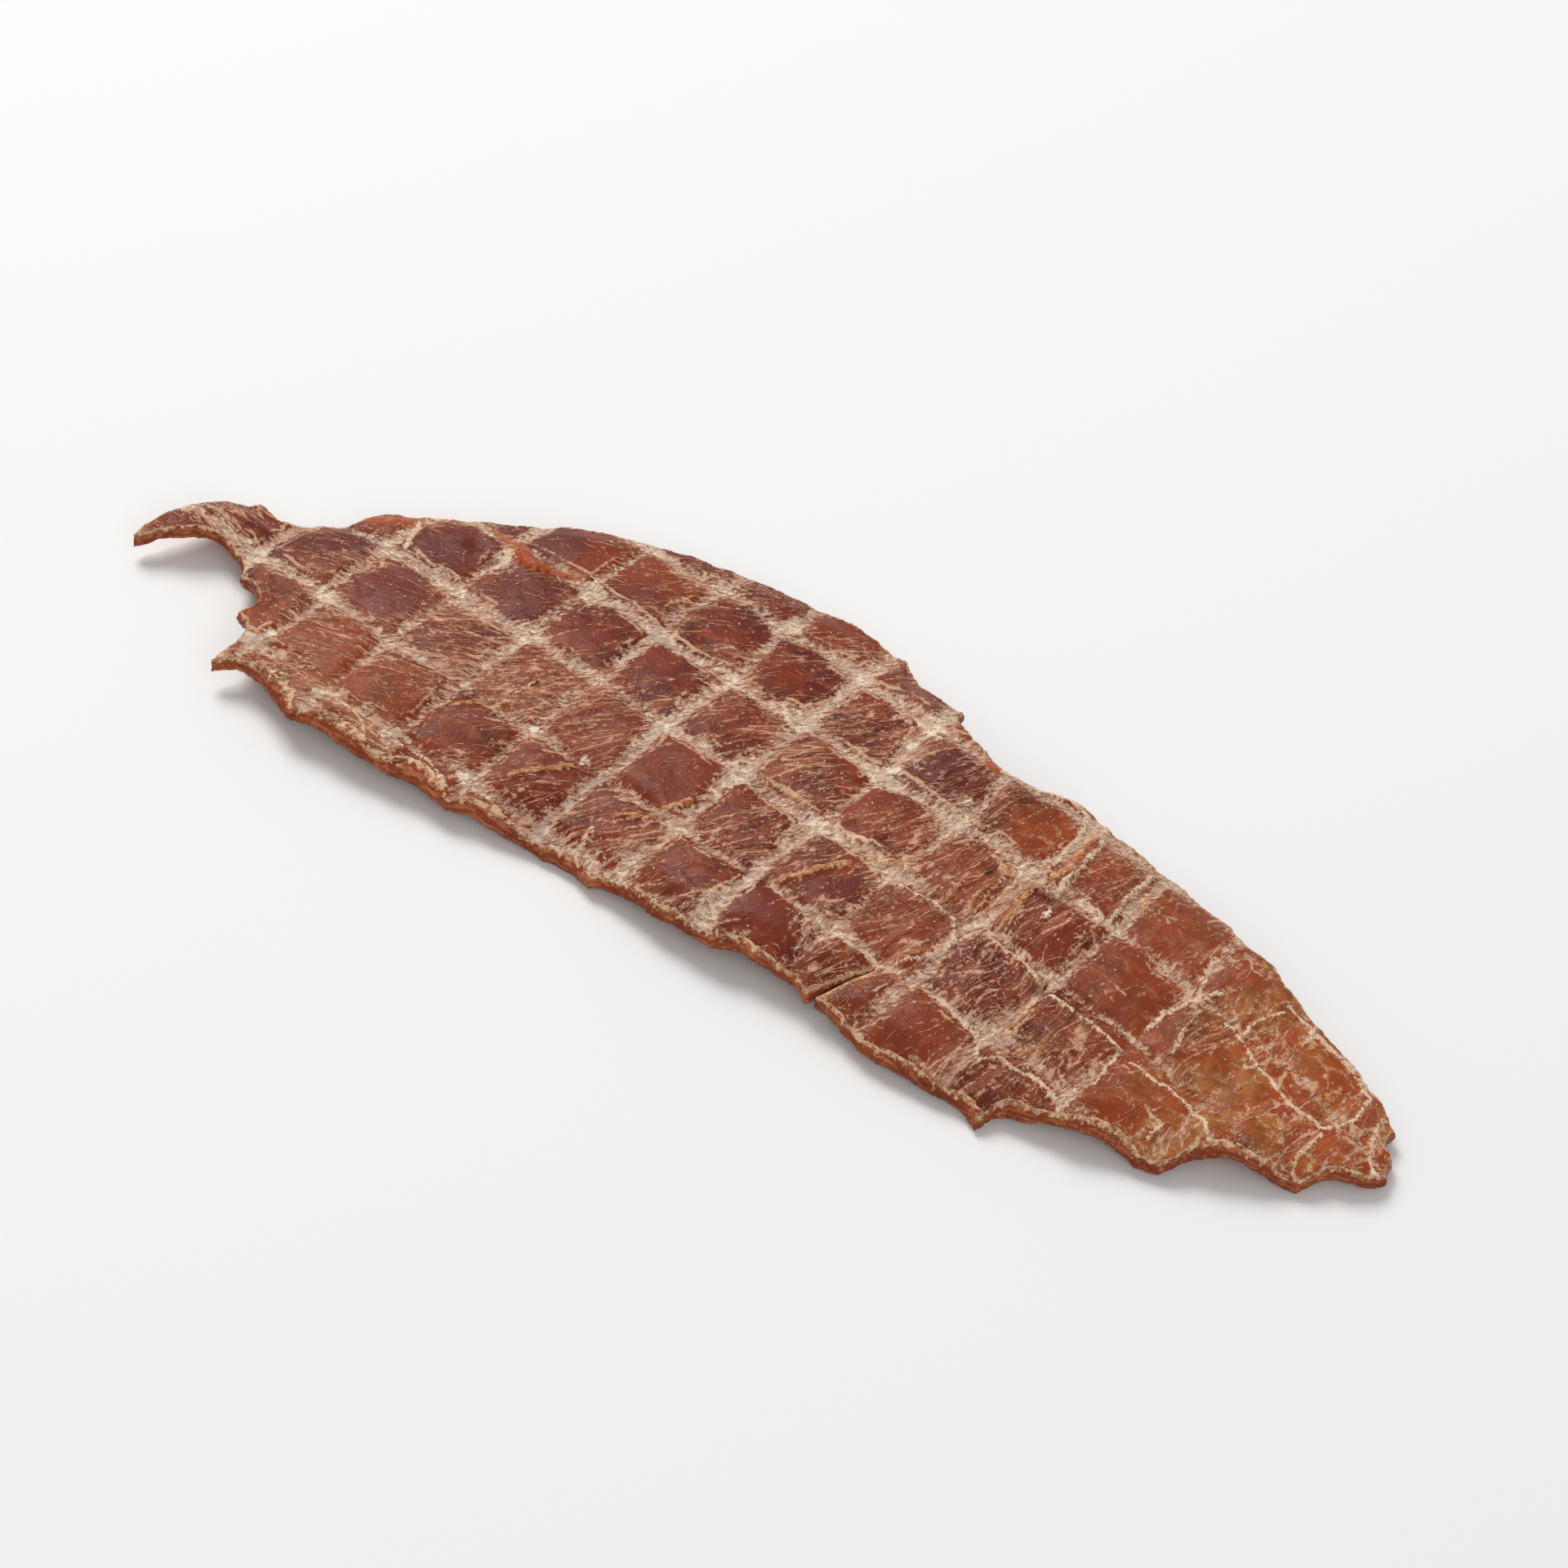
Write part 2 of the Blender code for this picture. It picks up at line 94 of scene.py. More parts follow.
# Clockwise from the tip of the flap at the left end: x, y, is a corner
OUTLINE = (
    (-76.7, -11.3, 1), (-76.4, -7.8, 0), (-74, -2.7, 0), (-70, 2.4, 1), (-66.5, 2, 0), (-62.1, 4.1, 0),
    (-57.5, 8.9, 0), (-51.5, 12.6, 0), (-44.5, 15.8, 1), (-39, 20.4, 0), (-31.5, 23.8, 0),
    (-22.5, 25.3, 1), (-16, 25.9, 0), (-8.2, 26.7, 0), (-1.2, 25.6, 1), (3.6, 22.6, 0), (8.5, 21.6, 1),
    (8.8, 19.8, 1), (13, 17.4, 0), (16.3, 15.8, 0), (20.2, 16.4, 0), (25.5, 18, 1), (31.9, 17.3, 0),
    (35.6, 15.9, 1), (41.3, 13.6, 0), (47.3, 11.5, 1), (52.6, 9.9, 0), (58, 7.3, 0), (66.5, 3.7, 1),
    (70.4, 1.6, 0), (73.5, -0.5, 1), (73.3, -2.6, 0), (74.3, -3.4, 0), (75.7, -6.1, 1), (74.3, -7.7, 0),
    (71.1, -9.9, 0), (68.6, -12.7, 1), (65.2, -13.8, 0), (62.1, -15, 0), (59.2, -16.6, 0), (57, -19.1, 0),
    (54.8, -19.9, 1), (51.5, -19.9, 0), (45.5, -21.4, 0), (41, -22.3, 0), (39.4, -24.7, 1),
    (36.3, -23.8, 0), (32.8, -24.5, 1), (24.7, -24, 0), (19.9, -22.7, 1), (16.3, -22, 1), (10.6, -21.9, 0),
    (4.4, -22.7, 1), (-6.7, -21.8, 0), (-9, -22.3, 1), (-12.8, -21.1, 0), (-18.7, -21.9, 1),
    (-22.8, -21.8, 0), (-26.6, -22.6, 1), (-31.5, -22.4, 0), (-37.6, -23.3, 1), (-43, -22.7, 0),
    (-47.1, -23.5, 1), (-50.1, -21.8, 0), (-54.8, -20.1, 0), (-57.9, -21.4, 1), (-57.5, -19.4, 0),
    (-57.9, -16.1, 0), (-60, -14.6, 1), (-59.8, -12.1, 0), (-61.2, -9.8, 0), (-63.6, -9.4, 1),
    (-65.5, -7.6, 0), (-69.3, -6.5, 0), (-73.3, -9.1, 0),
)
CRACK_AFTER = 49
CRACK_END = (21.5, -16.0)
CRACK_BEND = (19.8, -19.5)
CRACK_MOUTH = 1.0
CRACK_TIP = 0.25
RAGGED_SEED = 11
RAGGED_STEP = 2.4
RAGGED_DEPTH = 0.30
CRESCENT_X = (-58.0, -48.0, -30.0, -14.0, 12.0, 30.0, 46.0, 64.0, 76.0)
CRESCENT_DEPTH = (0.2, 1.5, 1.5, 0.7, 0.5, 0.6, 1.1, 0.9, 0.2)
CAD_OUTLINE_STEP = 1.35

# Finer detail that only the visible model has, in millimetres
FINE_OUTLINE_STEP = 0.36
FINE_TOP_STEP = 0.33
FINE_BOTTOM_STEP = 0.85
FINE_RAGGED_DEPTH = 0.26
WALL_RINGS = (0.08, 0.22, 0.38, 0.52, 0.66, 0.82, 0.94)
WALL_LAYER_DEPTH = 0.10
WALL_GRIT_DEPTH = 0.07
FIBRE_RIDGE = 0.09
CELL_LIP = 0.10
LIP_HALF_WIDTH = 0.26
LINE_FUZZ = 0.10
WRINKLE_HEIGHT = 0.10
UNDERSIDE_GRAIN = 0.07
LINE_HALF_WIDTH = 0.92
LINE_THINNING = 0.26
LINE_BLEND = 1.5
LINE_COVERS = (0.12, 0.75)
CROSSING_RADIUS = 2.1
WANDER_WIDE = 0.60
WANDER_FINE = 0.24

# Direction of the muscle fibres along the slice: x in millimetres, degrees from +X
FIBRE_TURN_X = (-76, -62, -48, -34, -14, 8, 30, 76)
FIBRE_TURN = (-20, 4, 14, 38, 44, 58, 74, 84)

# Ridges that stand out of the face: half width, height, then x, y, x, y along the path
CREAM_RIDGES = (
    (0.4, 0.65, 29, 17.3, 30.2, 13.1, 29.9, 9, 29.8, 5.2),
    (0.32, 0.34, 19.5, 17.4, 24, 17.9, 26.6, 17, 27.5, 13.8, 27.4, 8.4),
    (0.26, 0.24, 36.4, 14, 36.1, 10, 36.3, 4.8), (0.55, 0.28, 32.2, 5.6, 35.4, 5.2),
    (0.26, 0.3, 30.6, 2.9, 30.9, 0.9), (0.22, 0.3, 49.8, 0.4, 49.9, -3, 50.4, -6.3),
    (0.24, 0.2, 50.8, 4.7, 49.3, 2, 48.6, 1.2), (0.38, 0.2, 47.2, 7.3, 48.6, 1.8, 47, -1.6, 46.8, -5),
    (0.24, 0.24, 56.5, 5.2, 54.8, 1.6, 55, 0.1), (0.26, 0.22, 53, 0.3, 56.2, -1, 58, -2.7, 60.4, -3.3),
    (0.24, 0.26, 60, 5.9, 60.4, 4.2, 60.2, 2.6),
    (0.3, 0.26, 61, 4.6, 66, 3, 69.3, 1, 69.4, -2.6, 67.2, -5.6, 63, -4.8, 60, -3.4),
    (0.34, 0.3, 56.4, 6.6, 61, 4.9, 66.4, 3.5, 69.4, 1.9), (0.3, 0.3, 71.6, -0.6, 72, -3.8, 74, -7.2),
    (0.24, 0.22, 67.6, -6.4, 67, -10, 67.9, -12.6), (0.24, 0.2, 54.6, -14.4, 54.2, -17),
    (0.28, 0.22, 48, -10, 52.4, -10.5, 56.6, -11.6, 58.9, -13.2),
    (0.28, 0.22, 36.6, -7, 41, -7.7, 45.8, -8.6, 46.4, -11.5, 46.5, -14.6),
    (0.3, 0.26, 28, -4.2, 32.4, -4.9, 35.2, -6.4, 35.9, -10.6),
    (0.32, 0.26, 28, -14.2, 31.6, -15, 34.4, -16.4, 35.2, -18.2),
    (0.32, 0.26, 35.9, -18.6, 37, -17.4, 41, -17.4, 44.6, -18, 45.2, -19.4),
    (0.3, 0.28, 16.8, -3.6, 20.6, -3.4, 23.4, -4.2, 25.2, -6.6, 24, -10.4, 22.2, -12.7),
    (0.4, 0.24, 15, -13.4, 18, -13.3, 21.4, -13.6), (0.42, 0.34, -7, 10.3, -4.7, 8.7),
    (0.42, 0.3, 5.2, 17.6, 8.6, 16.2), (0.3, 0.3, 8.8, -1.2, 12.8, -0.2),
    (0.7, 0.36, -43.4, 11.6, -42.4, 9.8, -42.9, 8.8), (0.26, 0.24, -29.2, -2.6, -29.8, -5.6),
    (0.5, 0.26, -53.8, 9.6, -52.6, 5.6), (0.4, 0.2, -12.2, -16.6, -12.2, -21),
    (0.22, 0.14, -54, -17.6, -50.5, -18, -48, -19.6),
    (0.24, 0.16, -47, -17.6, -43.6, -16.9, -40.4, -18.2, -38, -20.4),
    (0.24, 0.16, -36, -18.6, -31.6, -18.2, -28, -20.2),
    (0.34, 0.22, -14.8, -20.6, -13, -19.6, -9.6, -19.8),
)
GOLD_RIDGES = (
    (0.55, 0.22, 28.4, 16.6, 28.9, 11, 28.6, 6.4), (0.3, 0.42, 35.5, -11, 35.8, -12.6, 36.8, -13.5),
    (0.4, 0.26, 36.8, -17, 38.4, -15, 39.9, -13.4), (0.26, 0.2, 38.2, -15.8, 43.8, -11.2),
    (0.52, 0.36, 11.2, -4.4, 8.6, -7.6, 6.4, -10.6), (0.42, 0.3, 16, 1.6, 15.4, -0.8, 11.6, -2.8),
    (0.45, 0.34, -6.6, -6.8, -9, -10.5), (0.45, 0.34, -8.2, -11.4, -11.3, -13.7),
    (0.36, 0.34, 22.9, 5.2, 25.4, 4.4, 25.8, 1.4, 25.5, -1.8), (0.32, 0.26, 21.6, 1.6, 21.4, -2.4),
    (0.34, 0.26, 23.6, 1.6, 24, -2.6), (0.38, 0.3, 27.4, 4.8, 27.8, 1.6, 27.6, -1.6),
    (0.45, 0.32, 24.8, -7.2, 23.6, -9.6, 21.6, -12.4), (0.45, 0.3, -33.6, -10.6, -31.4, -8),
    (0.45, 0.32, -23.4, -15.4, -21, -12.8, -19.2, -10), (0.55, 0.22, 37.6, 10.6, 38.1, 9.4),
    (0.34, 0.26, -31.4, -9, -28.6, -4.6, -27.2, -1.6), (0.35, 0.24, 30.2, -22, 34, -22.8),
)

# Folded flaps of thin meat, in the same way
FOLDS = (
    (1.05, 0.95, -43, 12.9, -41.2, 11.6, -39.4, 11.3), (0.62, 0.6, -39.6, 11.2, -37.4, 12, -35.2, 13),
    (0.9, 0.45, -58.4, 7, -55.8, 8.6, -54.2, 9.6), (0.75, 0.5, 14.2, 17.2, 15.6, 16.6),
    (0.6, 0.4, -46.4, 13.6, -44.4, 13),
)

# Bright crumbs of dried protein: x, y, radius
FROST_SPOTS = (
    (-37.4, -18.1, 0.8), (-27.2, -18.1, 0.9), (-25.6, -8.2, 0.7), (-18.9, -8.6, 0.8), (-46.8, -21, 0.8),
    (-41, -7.2, 0.8), (-14.9, 0.8, 0.7), (-6, 9.4, 0.9), (7.4, 16.8, 1), (15.8, 10.6, 0.9), (7.2, 10, 1),
    (6.6, 14.2, 1), (-8.2, -21.6, 1.1), (30.8, 1.8, 0.6), (52.8, 0.4, 0.5), (60.2, 4.6, 0.6),
    (74.2, -7, 0.6), (-55.5, -13.5, 0.8),
)

# Cells of darker, more purple meat: x, y, radius, strength
PLUM_SPOTS = (
    (12, 12.5, 4.6, 1), (-38, 6.3, 4.4, 0.7), (-49.5, -1.5, 4.4, 0.7), (-49, 8, 4.2, 0.7),
    (-40.5, 16, 4, 0.8), (-29, 13, 4, 0.6), (-58.5, 3, 3.6, 0.6), (40.5, -21, 4.2, 0.5),
    (-19.5, 21, 4, 0.6), (7, -15, 4.2, 0.3), (31.5, 0, 4, 0.2),
)

# Cells that are smooth and bare of fibres: x, y, radius
SMOOTH_SPOTS = (
    (-7.8, 15, 4.2), (-19.6, 6.6, 4.2), (23.4, 11.9, 4.6), (9.4, -15.6, 4.2), (-2.7, -14.8, 4.2),
    (-28.6, 7.4, 4.2), (-49.5, -1.6, 4), (-37.8, 7.2, 4), (-30.8, 16.9, 4.2), (42.2, 6.9, 4.4),
    (42.5, -2.5, 4.6), (65.2, 2, 4.5), (51.9, -13.1, 4), (29, -17.3, 4.2),
)

# Broad pale places beside the imprint's lines: x, y, radius, strength
PALE_PATCHES = (
    (2.5, -17.8, 2.4, 0.6), (-7, -17.6, 2, 0.45), (11.8, -13.4, 1.9, 0.45), (-46.4, -20.2, 1.6, 0.5),
    (-42.4, 9.6, 1.7, 0.6), (-11.5, -19.4, 2, 0.45), (14.5, 9, 2.2, 0.45), (7.5, 12.2, 2, 0.5),
    (-5, -1.2, 2, 0.35),
)

# Thin places that let amber light through: x, y, radius, strength
AMBER_SPOTS = ((25.5, 12, 4.5, 0.75), (33, 12, 3, 0.5))

# Small pits, sunk into the face and darkened with painted shade: x, y, radius, depth
PITS = (
    (12.5, 0.2, 0.9, 0.55), (30, 3.9, 0.8, 0.5), (23, 3.4, 0.7, 0.4), (-46.6, 10.4, 1.3, 0.5),
    (-44.2, 9.4, 0.9, 0.35), (35, -7.2, 0.9, 0.25), (62, -11.5, 1.2, 0.25),
)

# Loose fibres and crumbs: how many, seed, and the least and largest lengths and widths
CELL_FIBRES = (2200, 201, (1.2, 4.6), (0.08, 0.17))
IMPRINT_FUZZ = (4200, 202, (0.35, 1.3), (0.05, 0.12))
PALE_FLAKES = (2600, 203)
STROKE_SEGMENTS = 4
STROKE_LIFT = 0.02
STROKE_ROOT = 0.05
STROKE_CLEARANCE = 0.25
FLAKE_SIZE = 0.05
FLAKE_SPREAD = 0.09

# Camera in metres and millimetres of lens, lights as place, size, power, colour
CAMERA_PLACE = (0.1809, -0.3160, 0.3696)
CAMERA_AIM = (0.0, 0.0, 0.003)
CAMERA_UP = (-0.4559, 0.5898, 0.6666)
CAMERA_LENS = 115.0
KEY_LIGHT = ((-0.75, 0.45, 0.95), 0.6, 12.6, (1.0, 0.985, 0.96))
FILL_LIGHT = ((0.7, -0.7, 0.7), 0.9, 3.2, (1.0, 1.0, 1.0))
SKY_STRENGTH = 0.42
FLOOR_HALF = 1.5
FLOOR_GREY = (0.86, 0.86, 0.86, 1.0)


# Small maths
def smooth_noise(x, y, cell, seed):
    """Seeded value noise in the range -1..1, smooth over one cell."""
    table = np.random.default_rng(seed).uniform(-1.0, 1.0, (64, 64))
    gx = np.asarray(x) / cell + 31.0
    gy = np.asarray(y) / cell + 31.0
    ix = np.floor(gx).astype(int)
    iy = np.floor(gy).astype(int)
    fx = gx - ix
    fy = gy - iy
    fx = fx * fx * (3.0 - 2.0 * fx)
    fy = fy * fy * (3.0 - 2.0 * fy)
    low, high = (table[ix % 64, row % 64] * (1 - fx) + table[(ix + 1) % 64, row % 64] * fx
                 for row in (iy, iy + 1))
    return low * (1 - fy) + high * fy


def layered_noise(x, y, cell, seed, octaves=3):
    """Octaves of smooth noise, each turned and half as large."""
    total = np.zeros_like(np.asarray(x, float))
    weight = 0.0
    for octave in range(octaves):
        turn = 0.7 + 1.1 * octave
        px = x * math.cos(turn) - y * math.sin(turn)
        py = x * math.sin(turn) + y * math.cos(turn)
        total += smooth_noise(px, py, cell / 2 ** octave, seed + 17 * octave) / 2 ** octave
        weight += 1.0 / 2 ** octave
    return total / weight


def blend(value, start, end):
    """0 at start, 1 at end, smooth between."""
    t = np.clip((np.asarray(value) - start) / (end - start), 0.0, 1.0)
    return t * t * (3.0 - 2.0 * t)


def bell(away, half_width):
    """1 where away is 0, falling off over the half width."""
    return np.exp(-(away / half_width) ** 2)


# The part's own shape
def underside_warp(x, y):
    """Height of the underside before it is set down on the ground."""
    along = 1.0 - (x / ARCH_HALF_LENGTH) ** 2
    across = ((y - ARCH_CENTRE_Y) / ARCH_HALF_WIDTH) ** 2
    height = ARCH_LENGTH * along - ARCH_WIDTH * across
    for cx, cy, radius, lift in EDGE_CURLS:
        height = height + lift * np.exp(-((x - cx) ** 2 + (y - cy) ** 2) / radius ** 2)
    return height + 0.25 * smooth_noise(x, y, 14.0, 3)


def pressed(x, y):
    """Where a point lay while the rack pressed the slice, before it arched."""
    rise = THICKNESS_CELL + underside_warp(x, y) - PRESS_LEVEL
    return x + PRESS_LEAN_X * rise, y + PRESS_LEAN_Y * rise


def rack_coordinates(x, y):
    """Position in the rack's mesh: whole numbers are on its wires."""
    x, y = pressed(x, y)
    bow = RACK_BOW * np.maximum(0.0, x - 20.0) ** 2
    v = (y - RACK_START_Y - RACK_SKEW_Y * x + bow) / RACK_PITCH_Y
    wobble = RACK_WOBBLE * np.sin(2.0 * math.pi * (x + 34.6) / 140.0)
    u = (x - RACK_SKEW_X * y - RACK_START_X + wobble) / RACK_PITCH_X
    return u, v


def wander(x, y, seed):
    """How far the imprint's lines wander sideways, in millimetres."""
    return WANDER_WIDE * smooth_noise(x, y, 4.5, seed) + WANDER_FINE * smooth_noise(x, y, 1.3, seed + 1)


def wandering_distances(x, y):
    """Distance in millimetres to the nearest line of each direction, as it wanders."""
    u, v = rack_coordinates(x, y)
    off_u = np.abs((u - np.round(u)) * RACK_PITCH_X + wander(x, y, 84))
    off_v = np.abs((v - np.round(v)) * RACK_PITCH_Y + wander(x, y, 86))
    return off_u, off_v


def line_fade(x):
    """How strongly the imprint shows along the slice."""
    return 1.0 - (1.0 - GROOVE_FAINT) * blend(x, GROOVE_FADE_START, GROOVE_FADE_END)


def imprint(x, y):
    """Groove and pillow relief of the rack on the upper face."""
    u, v = rack_coordinates(x, y)
    near_u, near_v = wandering_distances(x, y)
    lines = np.maximum(bell(near_u, GROOVE_HALF_WIDTH), bell(near_v, GROOVE_HALF_WIDTH))
    broken = 0.8 + 0.35 * smooth_noise(x, y, 9.0, 5)
    groove = GROOVE_DEPTH * line_fade(x) * broken * lines
    cell_u, cell_v = np.floor((u, v))
    swell = 1.0 + 0.5 * np.sin(cell_u * 12.9 + cell_v * 78.2)
    hump = np.sin(math.pi * (u - cell_u)) * np.sin(math.pi * (v - cell_v))
    return PILLOW_HEIGHT * swell * np.abs(hump) ** 0.7 - groove


def rounded_curve(points, step):
    """Catmull-Rom curve that keeps the corners, in points about step apart."""
    count = len(points)
    result = []
    for index in range(count):
        before, start, end, after = (np.array(points[(index + k) % count][:2]) for k in (-1, 0, 1, 2))
        slopes = [0.5 * (end - before), 0.5 * (after - start)]
        span = np.linalg.norm(end - start)
        for side in (0, 1):
            if points[(index + side) % count][2]:
                slopes[side] = end - start
            slopes[side] = slopes[side] * min(1.0, 1.2 * span / max(1e-9, np.linalg.norm(slopes[side])))
        pieces = max(1, round(span / step))
        for piece in range(pieces):
            t = piece / pieces
            point = (2 * t ** 3 - 3 * t ** 2 + 1) * start + (t ** 3 - 2 * t ** 2 + t) * slopes[0]
            point = point + (-2 * t ** 3 + 3 * t ** 2) * end + (t ** 3 - t ** 2) * slopes[1]
            result.append((point[0], point[1], index))
    return result


def outward_normals(points):
    """Unit normals that point out of a clockwise outline."""
    ahead = np.roll(points, -1, axis=0) - points
    ahead = ahead / np.linalg.norm(ahead, axis=1)[:, None]
    tangent = ahead + np.roll(ahead, 1, axis=0)
    tangent = tangent / np.maximum(1e-6, np.linalg.norm(tangent, axis=1))[:, None]
    return np.stack([-tangent[:, 1], tangent[:, 0]], axis=1)


def along_edge(outline):
    """Distance along the outline from its first point to each of them."""
    lengths = np.linalg.norm(np.roll(outline, -1, axis=0) - outline, axis=1)
    return np.concatenate([[0.0], np.cumsum(lengths)[:-1]])


def crack_points(step):
    """Both sides of the crack, from the lower edge in and out again."""
    start = np.array(OUTLINE[CRACK_AFTER][:2])
    finish = np.array(OUTLINE[CRACK_AFTER + 1][:2])
    mouth = 0.5 * (start + finish)
    path = [mouth, np.array(CRACK_BEND), np.array(CRACK_END)]
    middle = []
    for a, b in zip(path, path[1:]):
        pieces = max(1, round(np.linalg.norm(b - a) / step))
        middle += [a + (b - a) * piece / pieces for piece in range(pieces)]
    middle.append(path[-1])
    sides = ([], [])
    for index, point in enumerate(middle[:-1]):
        t = index / (len(middle) - 1)
        width = CRACK_MOUTH * (1.0 - t) + CRACK_TIP * t
        bend = 0.12 * math.sin(7.0 * t + 1.0)
        for side, way in zip(sides, (1, -1)):
            side.append((point[0] + way * 0.5 * width + bend, point[1] + way * 0.1 * width))
    return sides[0] + [tuple(middle[-1] + np.array([0.05, 0.35]))] + sides[1][::-1]


def slice_outline(step):
    """The whole torn outline, and which of its points line the crack."""
    curve = rounded_curve(OUTLINE, step)
    points = np.array([(x, y) for x, y, _ in curve])
    travelled = along_edge(points)
    ragged = smooth_noise(travelled, 0.0, RAGGED_STEP, RAGGED_SEED)
    points = points + outward_normals(points) * (RAGGED_DEPTH * ragged)[:, None]
    owners = [index for _, _, index in curve]
    result = []
    in_crack = []
    for number, (point, owner) in enumerate(zip(points, owners)):
        first_in_crack = owner == CRACK_AFTER and number and owners[number - 1] != owner
        if owner != CRACK_AFTER or first_in_crack:
            result.append(tuple(point))
            in_crack.append(False)
        if first_in_crack:
            side = crack_points(step)
            result += side
            in_crack += [True] * len(side)
    return np.array(result), np.array(in_crack)


def distance_to_outline(x, y, outline):
    """Shortest distance from each point to the outline."""
    best = np.full(len(x), 1e9)
    for a, b in zip(outline, np.roll(outline, -1, axis=0)):
        d = b - a
        t = np.clip(((x - a[0]) * d[0] + (y - a[1]) * d[1]) / max(1e-9, d @ d), 0.0, 1.0)
        best = np.minimum(best, (x - a[0] - t * d[0]) ** 2 + (y - a[1] - t * d[1]) ** 2)
    return np.sqrt(best)


def inside_outline(x, y, outline):
    """True for the points inside the outline."""
    inside = np.zeros(len(x), bool)
    for a, b in zip(outline, np.roll(outline, -1, axis=0)):
        rise = b[1] - a[1]
        if abs(rise) < 1e-12:
            continue
        crosses = (a[1] > y) != (b[1] > y)
        inside ^= crosses & (x < (b[0] - a[0]) * (y - a[1]) / rise + a[0])
    return inside


def rim_setback(outline, normals, in_crack):
    """How far the top of the side wall stands back from each outline point."""
    u, _ = rack_coordinates(*outline.T)
    depth = np.interp(outline[:, 0], CRESCENT_X, CRESCENT_DEPTH)
    faces_down = blend(-normals[:, 1], 0.5, 0.9)
    crack_x = 0.5 * (OUTLINE[CRACK_AFTER][0] + OUTLINE[CRACK_AFTER + 1][0])
    clear_of_crack = blend(np.abs(outline[:, 0] - crack_x), 1.5, 4.0)
    arc = np.abs(np.sin(math.pi * u)) ** 0.8
    setback = RIM_ROUND + depth * arc * faces_down * clear_of_crack
    for _ in range(3):
        setback = (np.roll(setback, 1) + 2.0 * setback + np.roll(setback, -1)) / 4.0
    return np.where(in_crack, 0.3 * RIM_ROUND, setback)


# Fine relief, laid out where the rack pressed the slice
def spots(x, y, places, power=1):
    """A row for each round spot, 1 in its middle, flatter inside for a higher power."""
    x, y = pressed(x, y)
    cx, cy, radius = (np.array([place[k] for place in places])[:, None] for k in range(3))
    return np.exp(-(((x - cx) ** 2 + (y - cy) ** 2) / radius ** 2) ** power)


def weighted_spots(x, y, places, power=1):
    """The same rows, each times the fourth value of its spot."""
    return np.array([place[3] for place in places])[:, None] * spots(x, y, places, power)


def ridge_relief(x, y, ridges):
    """Relief of the ridges, and nearness to them, 0 to 1."""
    x, y = pressed(x, y)
    relief = np.zeros_like(x)
    nearness = np.zeros_like(x)
    wander_x = x + 0.22 * smooth_noise(x, y, 1.7, 41)
    wander_y = y + 0.22 * smooth_noise(x, y, 1.7, 42)
    uneven = 0.80 + 0.35 * smooth_noise(x, y, 1.3, 43)
    for half_width, height, *path in ridges:
        path = np.reshape(path, (-1, 2))
        low = path.min(axis=0) - 4.0 * half_width
        high = path.max(axis=0) + 4.0 * half_width
        near = (x > low[0]) & (x < high[0]) & (y > low[1]) & (y < high[1])
        px, py = wander_x[near], wander_y[near]
        away = np.full(len(px), 1e9)
        for (ax, ay), (bx, by) in zip(path, path[1:]):
            length2 = (bx - ax) ** 2 + (by - ay) ** 2
            t = np.clip(((px - ax) * (bx - ax) + (py - ay) * (by - ay)) / length2, 0.0, 1.0)
            away = np.minimum(away, np.hypot(px - ax - t * (bx - ax), py - ay - t * (by - ay)))
        shape = bell(away, half_width)
        relief[near] = np.maximum(relief[near], height * shape * uneven[near])
        nearness[near] = np.maximum(nearness[near], shape)
    return relief, nearness


def all_ridges(x, y):
    """Relief and nearness of the cream ridges, the gold ridges and the folds."""
    return zip(*(ridge_relief(x, y, ridges) for ridges in (CREAM_RIDGES, GOLD_RIDGES, FOLDS)))


def streaky_zone(x, y, start, end):
    """Where long fibres run across the cells and hide the imprint, 0 to 1."""
    x, y = pressed(x, y)
    below = np.minimum(-1.0, -7.0 + 0.6 * (x + 43.0)) - y
    return blend(below, start, end) * blend(-x, 16.0, 28.0)


def fibre_field(x, y):
    """Coordinates across and along the muscle fibres, which turn along the slice."""
    turn = np.radians(np.interp(x, FIBRE_TURN_X, FIBRE_TURN))
    steps = np.linspace(-80.0, 80.0, 641)
    angle = np.radians(np.interp(steps, FIBRE_TURN_X, FIBRE_TURN))
    width = steps[1] - steps[0]
    sine = np.cumsum(np.sin(angle)) * width
    cosine = np.cumsum(np.cos(angle)) * width
    drift = 1.6 * smooth_noise(x, y, 11.0, 61) + 0.5 * smooth_noise(x, y, 4.0, 62)
    across = y * np.cos(turn) - np.interp(x, steps, sine) + drift
    along = y * np.sin(turn) + np.interp(x, steps, cosine)
    return across, along, turn


def fibre_patches(x, y):
    """Where the fibres stand out of the cells, 0 to 1."""
    patches = blend(layered_noise(x, y, 8.0, 71, 2), -0.45, 0.25) + 0.40 * streaky_zone(x, y, -2.5, 1.5)
    return patches * np.prod(1.0 - 0.9 * spots(x, y, SMOOTH_SPOTS, 2), axis=0)


def line_strength(x, y, seed):
    """How strongly a line shows from place to place, 0 to about 1."""
    patchy = 0.80 + 0.46 * smooth_noise(x, y, 8.0, seed) + 0.26 * smooth_noise(x, y, 3.0, seed + 1)
    left = 1.0 - 0.40 * streaky_zone(x, y, 0.5, 4.5)
    return np.clip(patchy * left, 0.12, 1.1) * line_fade(x) ** 0.7


